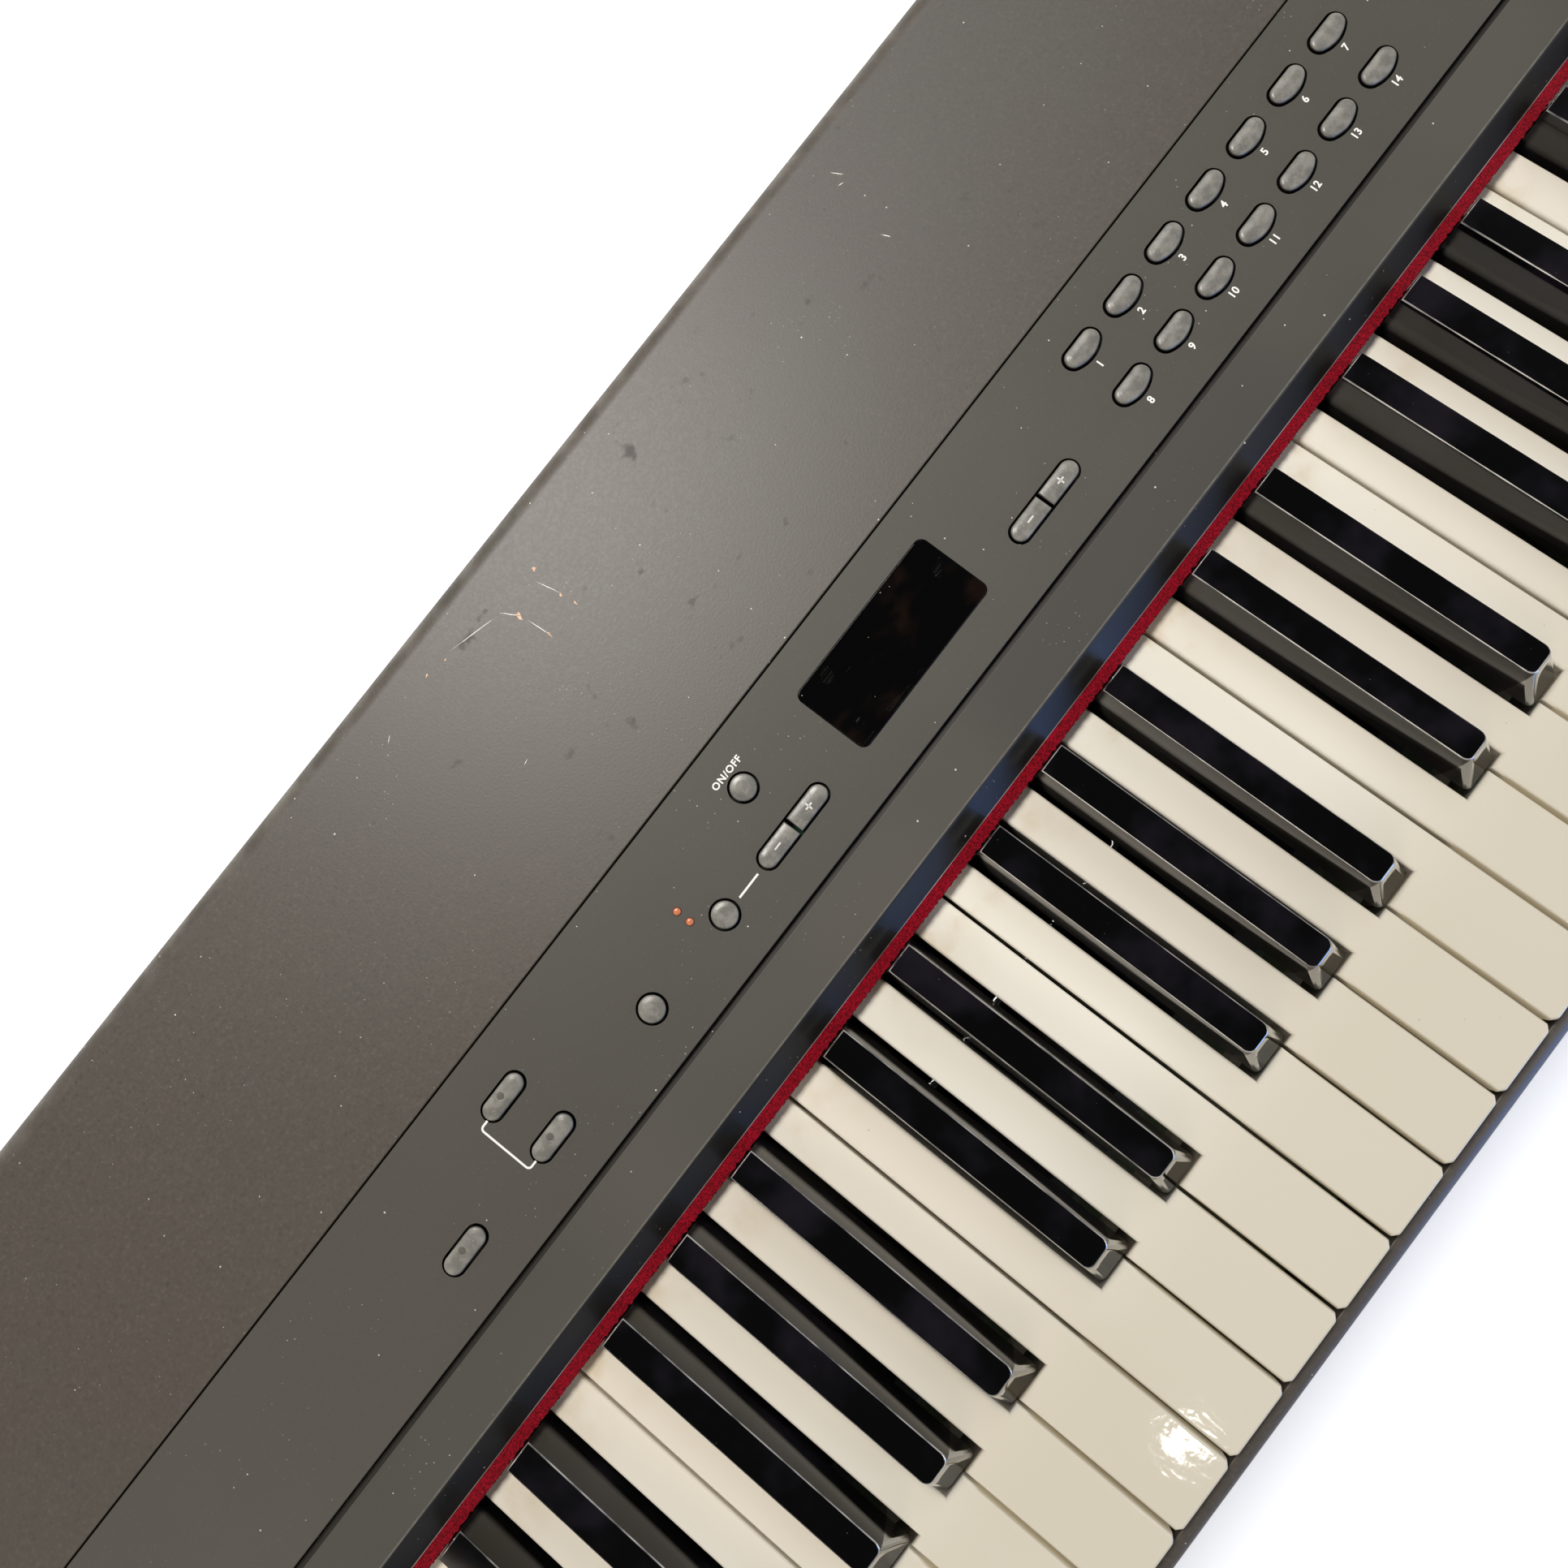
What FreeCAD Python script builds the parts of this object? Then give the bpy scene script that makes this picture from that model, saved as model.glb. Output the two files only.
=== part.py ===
"""Stage piano with 88 weighted keys, built from its bottom board upwards.

Millimetres. +X is the player's right, +Y the rear, +Z up. The origin lies under the middle of
the case, on the floor that the rubber feet stand on. Every size comes from the sheet below.
"""
import FreeCAD, Part
import os
import re

import Sketcher
from FreeCAD import Rotation, Vector

DRIVING = (
    ("total_width", 1341, "case, left to right"),
    ("case_depth", 321, "case, front to rear"),
    ("foot_height", 8, "rubber foot"),
    ("foot_radius", 12.5, "rubber foot"),
    ("foot_inset", 38, "rubber foot centre to the edge of the board"),
    ("foot_taper", 8, "side of a rubber foot in degrees"),
    ("board_thick", 12, "bottom board"),
    ("board_inset", 2.5, "bottom board inside the case outline"),
    ("action_height", 93.5, "bottom board to the top of the natural keys"),
    ("end_width", 58.5, "end block, left to right"),
    ("white_gap", 1, "between two natural keys"),
    ("white_visible", 146.3, "natural key in front of the felt"),
    ("key_reach", 221.3, "key front to its pivot"),
    ("key_back", 8.5, "key behind its pivot"),
    ("key_depth", 18, "key body, top to bottom"),
    ("key_wall", 2, "side wall of a key"),
    ("key_roof", 3, "top wall of a key"),
    ("key_corner", 1.6, "cut corner at a natural key's front"),
    ("lip_depth", 3.5, "front lip of a natural key"),
    ("lip_reach", 1.2, "front lip of a natural key"),
    ("head_length", 50.7, "natural key's wide head"),
    ("notch_width", 15.6, "opening between two tails for a sharp"),
    ("c_sharp_line", 0.8894, "C sharp from the left edge of C, in naturals"),
    ("d_sharp_line", 2.1106, "D sharp from the left edge of C, in naturals"),
    ("f_sharp_line", 0.8255, "F sharp from the left edge of F, in naturals"),
    ("g_sharp_line", 2, "G sharp from the left edge of F, in naturals"),
    ("a_sharp_line", 3.1745, "A sharp from the left edge of F, in naturals"),
    ("sharp_width", 12.6, "sharp key at its base"),
    ("sharp_top_width", 9, "sharp key along its top"),
    ("sharp_setback", 51.7, "front of a sharp behind the front of the naturals"),
    ("sharp_slope", 8.1, "run of the slanted front of a sharp"),
    ("sharp_rise", 12, "sharp above the naturals"),
    ("sharp_visible", 94.1, "sharp in front of the felt, along its base"),
    ("sharp_corner", 2, "cut corner at a sharp's front"),
    ("pivot_drop", 9, "key pivot below the top of the naturals"),
    ("key_axle_radius", 3, "key axle"),
    ("hammer_axle_radius", 2.5, "hammer axle"),
    ("fork_play", 0.1, "fork slot beyond its axle, each side"),
    ("fork_wall", 5, "solid rear end of a key ahead of its axle"),
    ("fork_cheek", 4, "cheek of a hammer's fork, front to rear"),
    ("leg_front", 149.5, "key leg's front face ahead of the key pivot"),
    ("leg_thick", 4, "key leg, front to rear"),
    ("leg_width", 6, "key leg, left to right"),
    ("leg_gap", 0.4, "key leg to the hammer under it"),
    ("hammer_ahead", 110, "hammer pivot ahead of the key pivot"),
    ("hammer_drop", 39, "hammer pivot below the key pivot"),
    ("hammer_width", 7, "hammer, left to right"),
    ("hammer_nose", 41.5, "hammer in front of its pivot"),
    ("hammer_back", 103, "hammer behind its pivot"),
    ("hammer_crown", 5.6, "top of the hammer's fork above its pivot"),
    ("hammer_skirt", 6.5, "foot of the hammer's fork below its pivot"),
    ("crown_half", 5, "flat on top of a hammer's fork, each side of its pivot"),
    ("crown_run", 10, "hammer's front arm ahead of its pivot"),
    ("hammer_tip", 5.5, "hammer's front arm at its tip"),
    ("hammer_weight", 16, "hammer's rear end, top to bottom"),
    ("hammer_swing", 10.6, "full travel of a hammer in degrees"),
    ("nose_rise", 3, "top of the hammer's front arm above its pivot"),
    ("felt_clear", 0.3, "moving piece to the felt that stops it"),
    ("sheet_thick", 2, "steel of the action frame"),
    ("shelf_drop", 33, "front shelf's top below the natural keys' top"),
    ("shelf_inset", 4, "front shelf behind the natural keys' fronts"),
    ("shelf_gap", 2.5, "front shelf to the keys' legs"),
    ("shelf_web", 34, "front web ahead of the shelf's rear edge"),
    ("frame_gap", 2, "action frame to the key slip's flange"),
    ("frame_behind", 20, "action frame behind the key pivot"),
    ("frame_short", 1, "action frame inside the outer keys, each side"),
    ("white_felt_height", 5, "cushion under the natural keys' fronts"),
    ("white_felt_place", 4.8, "that cushion behind the natural keys' fronts"),
    ("white_felt_depth", 10, "that cushion, front to rear"),
    ("sharp_felt_height", 7, "cushion under the sharps' fronts"),
    ("sharp_felt_place", 2, "that cushion behind the sharps' fronts"),
    ("sharp_felt_depth", 7.5, "that cushion, front to rear"),
    ("stop_felt_height", 3, "felt that stops the hammers"),
    ("stop_felt_place", 2, "that felt ahead of the hammers' rear ends"),
    ("stop_felt_depth", 20, "that felt, front to rear"),
    ("rest_felt_height", 4, "felt that the hammers rest on"),
    ("rest_depth", 12, "that felt, front to rear"),
    ("beam_depth", 46, "box beam of the action frame, front to rear"),
    ("beam_height", 12, "box beam of the action frame"),
    ("guide_thick", 3, "key guide tongue"),
    ("guide_play", 0.3, "key guide tongue inside the key, each side"),
    ("guide_rise", 18.5, "key guide tongue above the shelf"),
    ("guide_place", 22.8, "tongues behind the natural keys' fronts"),
    ("sharp_guide_place", 13, "tongues behind the sharps' fronts"),
    ("circuit_thick", 1.6, "circuit board"),
    ("contact_rise", 3.9, "rubber contact strip on its board"),
    ("contact_back", 6, "contact board's rear edge ahead of the key pivot"),
    ("slip_thick", 5.3, "key slip"),
    ("slip_gap", 1.4, "key slip to the front of the naturals"),
    ("slip_drop", 4, "top of the key slip below the naturals"),
    ("slip_round", 4, "rounded top edge of the key slip"),
    ("slip_flange", 18, "foot flange of the key slip"),
    ("end_gap", 1, "outermost natural key to the end block"),
    ("end_wall", 3, "wall of an end block"),
    ("end_nose", 14, "rounded front of an end block"),
    ("end_edge", 2.5, "rounded outer edge of an end block"),
    ("fit_gap", 0.4, "between two case parts"),
    ("close_fit", 0.05, "round a pin, screw or lens that sits tight in its hole"),
    ("felt_gap", 0.5, "natural keys to the felt over them"),
    ("felt_thick", 3.3, "felt strip"),
    ("felt_show", 3.2, "felt in front of the fascia"),
    ("felt_depth", 14, "felt strip, front to rear"),
    ("bevel_angle", 44.1, "fascia's front bevel in degrees"),
    ("bevel_rise", 6.4, "fascia's front bevel"),
    ("fascia_wall", 2, "fascia"),
    ("fascia_depth", 16.75, "fascia behind its bevel"),
    ("fascia_skirt", 9, "rear skirt of the fascia"),
    ("seam_wide", 1.5, "groove between the fascia and the control panel"),
    ("seam_thin", 0.5, "gap between the control panel and the cover"),
    ("seam_deep", 1.6, "step in the groove below the fascia's top"),
    ("panel_slope", 3.7, "control panel in degrees"),
    ("panel_depth", 48.1, "control panel, along its slope"),
    ("panel_wall", 2.5, "control panel"),
    ("panel_skirt", 4.5, "flanges under the control panel"),
    ("panel_flange", 1.5, "flanges under the control panel, front to rear"),
    ("boss_size", 4, "boss that carries the panel's circuit board"),
    ("boss_place", 8.5, "those bosses behind the rear row"),
    ("row_front", 15.5, "front row of buttons from the panel's front edge"),
    ("row_rear", 32.9, "rear row of buttons from the panel's front edge"),
    ("button_gap", 0.7, "round a button"),
    ("button_rise", 1.4, "button above the panel"),
    ("button_drop", 4.2, "button below the panel's top"),
    ("button_edge", 0.6, "cut top edge of a button"),
    ("flange_width", 1.1, "retaining flange of a button beyond its hole"),
    ("flange_thick", 0.9, "retaining flange of a button"),
    ("pill_length", 14.8, "pill button"),
    ("pill_width", 5.6, "pill button"),
    ("pair_length", 27.6, "split pair of buttons"),
    ("pair_width", 5.6, "split pair of buttons"),
    ("pair_split", 1.0, "gap in a split pair of buttons"),
    ("round_radius", 3.85, "round button"),
    ("voice_length", 13.2, "voice button, left to right"),
    ("voice_depth", 6.5, "voice button, front to rear"),
    ("voice_end", 2.75, "radius of a voice button's rear corners"),
    ("voice_pitch", 19.3, "voice button to voice button"),
    ("voice_first", -19.5, "first column of voice buttons"),
    ("transpose_x", -319, "transpose button"),
    ("master_x", -281, "master and master edit buttons"),
    ("demo_x", -237.5, "demo button"),
    ("function_x", -205.3, "function button"),
    ("tempo_x", -174.8, "click button and tempo pair"),
    ("display_x", -117.85, "middle of the display"),
    ("display_y", 24.9, "middle of the display from the panel's front edge"),
    ("display_width", 57.1, "display window"),
    ("display_depth", 24.8, "display window"),
    ("display_corner", 2.6, "display window"),
    ("display_play", 0.15, "display window in its hole, each side"),
    ("display_rim", 2, "rim round the display window, under the panel"),
    ("rim_thick", 1.2, "that rim"),
    ("answer_x", -60.8, "no and yes pair"),
    ("effect_first", 150, "first of the four effect buttons"),
    ("effect_pitch", 38, "effect button to effect button"),
    ("lamp_x", -212.7, "indicator lamps"),
    ("lamp_rear", 26.4, "rear indicator lamp from the panel's front edge"),
    ("lamp_pitch", 4.5, "indicator lamp to indicator lamp"),
    ("lamp_radius", 1.15, "indicator lamp"),
    ("lamp_rise", 0.4, "indicator lamp above the panel"),
    ("slider_inset", 150.5, "volume slider at mid travel from the case's left end"),
    ("slider_y", 24, "volume slider from the panel's front edge"),
    ("slider_travel", 15, "volume slider, each way"),
    ("slider_stem", 2.4, "volume slider's stem"),
    ("slot_play", 0.3, "stem in its slot, each side"),
    ("knob_length", 12, "volume slider's knob"),
    ("knob_depth", 9, "volume slider's knob"),
    ("knob_height", 7, "volume slider's knob"),
    ("knob_dish", 1.2, "hollow in the top of the knob"),
    ("knob_gap", 0.4, "knob above the panel"),
    ("track_end", 12, "slider's circuit board beyond its travel, each end"),
    ("track_width", 16, "slider's circuit board, front to rear"),
    ("board_drop", 6, "panel circuit board below the panel's top"),
    ("board_front", 6, "panel circuit board from the panel's front edge"),
    ("board_rear", 11, "panel circuit board behind the rear row"),
    ("board_left", 18, "panel circuit board left of the transpose button"),
    ("cover_wall", 1.2, "steel cover"),
    ("cover_lap", 14, "front flange of the steel cover"),
    ("rear_lap", 8, "steel cover over the rear panel's top edge"),
    ("cover_round", 8, "rear bend of the steel cover"),
    ("rear_height", 42, "rear panel above the bottom board"),
    ("rear_wall", 2, "rear panel"),
    ("rear_inset", 2.5, "rear panel ahead of the case's rear face"),
    ("rear_flange", 14, "foot flange of the rear panel"),
    ("main_gap", 1, "main circuit board to the rear panel"),
    ("main_depth", 66, "main circuit board, front to rear"),
    ("main_left", 30, "main circuit board left of the power button"),
    ("spacer_radius", 3, "spacer under the main circuit board"),
    ("spacer_inset", 6, "those spacers from the board's edges"),
    ("spacer_rear", 40, "rear spacers ahead of the board's rear edge"),
    ("housing_gap", 0.2, "sockets' housings to the rear panel"),
    ("nose_play", 0.15, "round a socket's nose in the rear panel"),
    ("jack_bore", 3.2, "radius of a phone jack's bore"),
    ("jack_nose", 5.5, "radius of a phone jack's threaded nose"),
    ("jack_depth", 30, "phone jack's bore"),
    ("jack_end", 3, "closed end of a phone jack"),
    ("jack_size", 15, "phone jack's housing"),
    ("jack_height", 22, "sockets above the bottom board"),
    ("jack_pitch", 32, "phone jack to phone jack"),
    ("jack_first", 150, "first phone jack"),
    ("din_radius", 7.6, "round five pin socket"),
    ("din_size", 20, "housing of a five pin socket"),
    ("din_rim", 0.9, "rim of a five pin socket"),
    ("din_groove", 1.4, "ring groove in a five pin socket"),
    ("din_deep", 9.5, "grooves of the round sockets and the inlet"),
    ("din_pitch", 28, "five pin socket to five pin socket"),
    ("din_first", 20, "first five pin socket"),
    ("inlet_x", -120, "power inlet"),
    ("inlet_bore", 2.8, "radius of the power inlet"),
    ("inlet_pin", 1.05, "radius of the power inlet's pin"),
    ("power_x", -200, "power button"),
    ("power_width", 14, "power button"),
    ("power_height", 9, "power button"),
    ("power_travel", 3, "power button"),
    ("power_play", 0.5, "round the power button"),
    ("screw_radius", 1.9, "case screw's shank"),
    ("screw_head", 4, "radius of a case screw's head"),
    ("screw_length", 21, "case screw under its head"),
    ("screw_sink", 3, "case screw's head in the bottom board"),
    ("screw_play", 0.3, "round a screw's shank in the bottom board"),
    ("head_play", 0.4, "round and under a screw's head"),
    ("boss_roof", 2, "end block's screw boss above its hole"),
    ("boss_inset", 6, "end block's screws from its inner face"),
    ("screw_inset", 40, "end block's screws from the case's front and rear"),
    ("frame_screw", 12, "action frame's screws behind the key pivot"),
)

doc = FreeCAD.newDocument("stage_piano")
sheet = doc.addObject("Spreadsheet::Sheet", "sizes")
for row, (alias, value, meaning) in enumerate(DRIVING, start=1):
    sheet.set(f"A{row}", meaning)
    sheet.set(f"B{row}", str(value))
    sheet.setAlias(f"B{row}", alias)
doc.recompute()

ALIAS = re.compile(r"\b(" + "|".join(name for name, _, _ in DRIVING) + r")\b")
NODES = []

# Places that several pieces share, worked out from the sheet.
FRONT = "(-case_depth / 2)"
REAR = "(case_depth / 2)"
BED = "(foot_height + board_thick)"
KEY_TOP = f"({BED} + action_height)"
KEY_FRONT = f"({FRONT} + slip_thick + slip_gap)"
PIVOT_Y = f"({KEY_FRONT} + key_reach)"
PIVOT_Z = f"({KEY_TOP} - pivot_drop)"
HAMMER_Y = f"({PIVOT_Y} - hammer_ahead)"
HAMMER_Z = f"({PIVOT_Z} - hammer_drop)"
SHELF = f"({KEY_TOP} - shelf_drop)"
INSIDE = "(total_width / 2 - end_width)"
KEYS_WIDTH = f"(2 * ({INSIDE} - end_gap))"
PITCH = f"({KEYS_WIDTH} / 52)"
FELT_FRONT = f"({KEY_FRONT} + white_visible)"
FELT_TOP = f"({KEY_TOP} + felt_gap + felt_thick)"
EDGE_Y = f"({FELT_FRONT} + felt_show + bevel_rise / tan(bevel_angle))"
EDGE_Z = f"({FELT_TOP} + bevel_rise)"
PANEL_Y = f"({EDGE_Y} + fascia_depth + seam_wide)"
PANEL_Z = f"({EDGE_Z} + (fascia_depth + seam_wide) * tan(panel_slope))"
COVER_Y = f"({PANEL_Y} + panel_depth * cos(panel_slope) + seam_thin)"
COVER_Z = f"({EDGE_Z} + ({COVER_Y} - {EDGE_Y}) * tan(panel_slope))"
SPAN = f"({INSIDE} - fit_gap)"
SLIDER_X = "(slider_inset - total_width / 2)"


def formula(text):
    """Point every size in a formula at its cell."""
    return ALIAS.sub(r"sizes.\1", str(text))


def number(text):
    return float(sheet.evalExpression(formula(text)))


def bind(item, **formulas):
    for name, text in formulas.items():
        item.setExpression(name.replace("__", "."), formula(text))


def node(kind, label, **formulas):
    """A sub-part of the document; its label is its file's name."""
    item = doc.addObject(kind, label)
    item.Label = label
    if kind == "PartDesign::Body":
        item.AllowCompound = True
    bind(item, **formulas)
    NODES.append(item)
    return item


def place(item, x="0", y="0", z="0", slope=None):
    if slope:
        item.Placement = FreeCAD.Placement(Vector(), Rotation(Vector(1, 0, 0), 1))
        bind(item, Placement__Rotation__Angle=slope)
    bind(item, Placement__Base__x=x, Placement__Base__y=y, Placement__Base__z=z)


def sketch(body, plane, lift="0"):
    """An empty sketch on one of the body's own planes, lifted off it along its normal."""
    item = body.newObject("Sketcher::SketchObject", body.Name + "_outline")
    own = [face for face in body.Origin.OriginFeatures if face.Role == plane + "_Plane"]
    item.AttachmentSupport = [(own[0], "")]
    item.MapMode = "FlatFace"
    bind(item, AttachmentOffset__Base__z=lift)
    return item


def hold(drawing, curve, end, x=None, y=None):
    """Keep one end (or 3, the centre) of a curve at a place given by formulas."""
    for kind, text in (("DistanceX", x), ("DistanceY", y)):
        if text is not None:
            held = drawing.addConstraint(Sketcher.Constraint(kind, curve, end, number(text)))
            drawing.setExpression(f"Constraints[{held}]", formula(text))


def polygon(drawing, corners):
    """A closed outline through corners that are pairs of formulas."""
    points = [Vector(number(x), number(y), 0) for x, y in corners]
    lines = [drawing.addGeometry(Part.LineSegment(points[n - 1], end)) for n, end in enumerate(points)]
    for n, line in enumerate(lines):
        following = lines[(n + 1) % len(lines)]
        drawing.addConstraint(Sketcher.Constraint("Coincident", line, 2, following, 1))
        hold(drawing, line, 2, *corners[n])


def rectangle(drawing, low_x, high_x, low_y, high_y):
    polygon(drawing, ((low_x, low_y), (high_x, low_y), (high_x, high_y), (low_x, high_y)))


def circle(drawing, x, y, radius):
    ring = drawing.addGeometry(Part.Circle(Vector(number(x), number(y), 0), Vector(0, 0, 1), number(radius)))
    hold(drawing, ring, 3, x, y)
    held = drawing.addConstraint(Sketcher.Constraint("Radius", ring, number(radius)))
    drawing.setExpression(f"Constraints[{held}]", formula(radius))


def arc(drawing, centre, radius, start, end, **centre_held):
    """A counterclockwise arc between two places; the centre needs only one coordinate held."""
    base = Part.Circle(Vector(number(centre[0]), number(centre[1]), 0), Vector(0, 0, 1), number(radius))
    angles = [base.parameter(Vector(number(x), number(y), 0)) for x, y in (start, end)]
    curve = drawing.addGeometry(Part.ArcOfCircle(base, *angles))
    hold(drawing, curve, 3, **centre_held)
    hold(drawing, curve, 1, *start)
    return curve


def join(drawing, curves):
    """Close a ring of lines and arcs end to end."""
    for n, curve in enumerate(curves):
        following = curves[(n + 1) % len(curves)]
        drawing.addConstraint(Sketcher.Constraint("Coincident", curve, 2, following, 1))


def line(drawing, start, end):
    ends = [Vector(number(x), number(y), 0) for x, y in (start, end)]
    return drawing.addGeometry(Part.LineSegment(*ends))


def capsule(drawing, x, y, length, width, left=True, right=True):
    """A pill's outline; an end that isn't round is cut square."""
    half, radius = f"({length}) / 2", f"({width}) / 2"
    low, high = f"{y} - {radius}", f"{y} + {radius}"
    east = f"{x} + {half}" + (f" - {radius}" if right else "")
    west = f"{x} - {half}" + (f" + {radius}" if left else "")
    ring = [line(drawing, (west, low), (east, low))]
    if right:
        ring.append(arc(drawing, (east, y), radius, (east, low), (east, high), x=east))
    else:
        ring.append(line(drawing, (east, low), (east, high)))
        hold(drawing, ring[-1], 1, east, low)
    ring.append(line(drawing, (east, high), (west, high)))
    hold(drawing, ring[-1], 1, east, high)
    if left:
        ring.append(arc(drawing, (west, y), radius, (west, high), (west, low), x=west))
    else:
        ring.append(line(drawing, (west, high), (west, low)))
        hold(drawing, ring[-1], 1, west, high)
    hold(drawing, ring[0], 1, west, low)
    join(drawing, ring)


def rounded(drawing, low_x, high_x, low_y, high_y, corner):
    """A rectangle with four rounded corners."""
    west, east = f"({low_x} + {corner})", f"({high_x} - {corner})"
    south, north = f"({low_y} + {corner})", f"({high_y} - {corner})"
    middles = ((east, south), (east, north), (west, north), (west, south))
    starts = ((west, low_y), (high_x, south), (east, high_y), (low_x, north))
    ends = ((east, low_y), (high_x, north), (west, high_y), (low_x, south))
    ring = []
    for n, middle in enumerate(middles):
        ring.append(line(drawing, starts[n], ends[n]))
        hold(drawing, ring[-1], 1, *starts[n])
        ring.append(arc(drawing, middle, corner, ends[n], starts[(n + 1) % 4], x=middle[0]))
    join(drawing, ring)


def pad(body, drawing, length, symmetric=False, backwards=False):
    step = body.newObject("PartDesign::Pad", body.Name + "_pad")
    step.Profile = drawing
    step.SideType = "Symmetric" if symmetric else "One side"
    step.Reversed = backwards
    bind(step, Length=length)
    drawing.Visibility = False
    return step


def cut(body, drawing, length, symmetric=False, backwards=False):
    """A pocket; a pocket that removes nothing is an error."""
    doc.recompute()
    before = body.Shape.Volume
    step = body.newObject("PartDesign::Pocket", body.Name + "_pocket")
    step.Profile = drawing
    step.SideType = "Symmetric" if symmetric else "One side"
    step.Reversed = backwards
    bind(step, Length=length)
    doc.recompute()
    if not body.Shape.Volume < before:
        raise RuntimeError(f"{step.Name} cuts nothing")
    return step


def repeat(body, step, count, pitch):
    """Copy a feature, or the whole body, along X."""
    doc.recompute()
    rows = body.newObject("PartDesign::LinearPattern", body.Name + "_rows")
    axis = [edge for edge in body.Origin.OriginFeatures if edge.Role == "X_Axis"]
    rows.Direction = (axis[0], [""])
    rows.Mode = "Spacing"
    if step:
        rows.Originals = [step]
    else:
        rows.TransformMode = "Whole shape"
    bind(rows, Offset=pitch)
    rows.Occurrences = count
    body.Tip = rows
    return rows


def edges(body, chosen):
    """Names of the body's edges whose two ends both pass a test."""
    doc.recompute()
    return [
        f"Edge{n}"
        for n, edge in enumerate(body.Tip.Shape.Edges, start=1)
        if all(chosen(vertex.Point) for vertex in edge.Vertexes)
    ]


def dress(body, kind, size, chosen):
    """Round or chamfer the chosen edges."""
    names = edges(body, chosen)
    step = body.newObject("PartDesign::" + kind, body.Name + "_edge")
    step.Base = (body.Group[-2], names)
    bind(step, **{"Radius" if kind == "Fillet" else "Size": size})
    return step


def bar(body, low_y, high_y, low_z, high_z, width):
    """A bar of rectangular section along X, centred."""
    drawing = sketch(body, "YZ")
    rectangle(drawing, low_y, high_y, low_z, high_z)
    return pad(body, drawing, width, symmetric=True)


# The bottom board: black-faced particle board with clearance holes for the case screws.
BOARD_SIDE = "(total_width / 2 - board_inset)"
BLOCK_SCREWS = [(f"{side} * ({INSIDE} + boss_inset)", f"{along} * (case_depth / 2 - screw_inset)")
                for side in (-1, 1) for along in (-1, 1)]
FRAME_SCREWS = [(f"{x} * {INSIDE}", f"{PIVOT_Y} + frame_screw") for x in (-0.75, -0.25, 0.25, 0.75)]
SCREWS = BLOCK_SCREWS + FRAME_SCREWS
FEET = [(f"{x} * ({BOARD_SIDE} - foot_inset)", f"{y} * (case_depth / 2 - board_inset - foot_inset)")
        for x in (-1, 0, 1) for y in (-1, 1)]

bottom_board = node("PartDesign::Body", "bottom_board")
place(bottom_board, z="foot_height")
base = sketch(bottom_board, "XY")
rectangle(base, f"-{BOARD_SIDE}", BOARD_SIDE, f"{FRONT} + board_inset", f"{REAR} - board_inset")
pad(bottom_board, base, "board_thick")
for radius, depth in (("screw_radius + screw_play", "board_thick"), ("screw_head + head_play", "screw_sink")):
    holes = sketch(bottom_board, "XY")
    for x, y in SCREWS:
        circle(holes, x, y, radius)
    cut(bottom_board, holes, depth, backwards=True)

# Case screws: pan heads let into the board from below, shanks up into the parts above.
case_screws = node("PartDesign::Body", "case_screws")
place(case_screws, z="foot_height + screw_sink")
shanks = sketch(case_screws, "XY")
heads = sketch(case_screws, "XY")
for x, y in SCREWS:
    circle(shanks, x, y, "screw_radius")
    circle(heads, x, y, "screw_head")
pad(case_screws, shanks, "screw_length")
pad(case_screws, heads, "screw_sink - head_play", backwards=True)

# Rubber feet: tapered pucks under the board.
rubber_feet = node("PartDesign::Body", "rubber_feet")
pucks = sketch(rubber_feet, "XY", "foot_height")
for x, y in FEET:
    circle(pucks, x, y, "foot_radius")
feet = pad(rubber_feet, pucks, "foot_height", backwards=True)
bind(feet, TaperAngle="-foot_taper")

# The key slip: a painted rail in front of the keys, with a foot flange on the board.
key_slip = node("PartDesign::Body", "key_slip")
slip = sketch(key_slip, "YZ")
polygon(slip, (
    (FRONT, BED),
    (f"{FRONT} + slip_thick + slip_flange", BED),
    (f"{FRONT} + slip_thick + slip_flange", f"{BED} + sheet_thick"),
    (f"{FRONT} + slip_thick", f"{BED} + sheet_thick"),
    (f"{FRONT} + slip_thick", f"{KEY_TOP} - slip_drop"),
    (FRONT, f"{KEY_TOP} - slip_drop"),
))
pad(key_slip, slip, f"2 * {SPAN}", symmetric=True)
slip_top = number(f"{KEY_TOP} - slip_drop")
dress(key_slip, "Fillet", "slip_round",
      lambda p: abs(p.z - slip_top) < 0.1 and abs(p.y - number(FRONT)) < 0.1)

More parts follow.
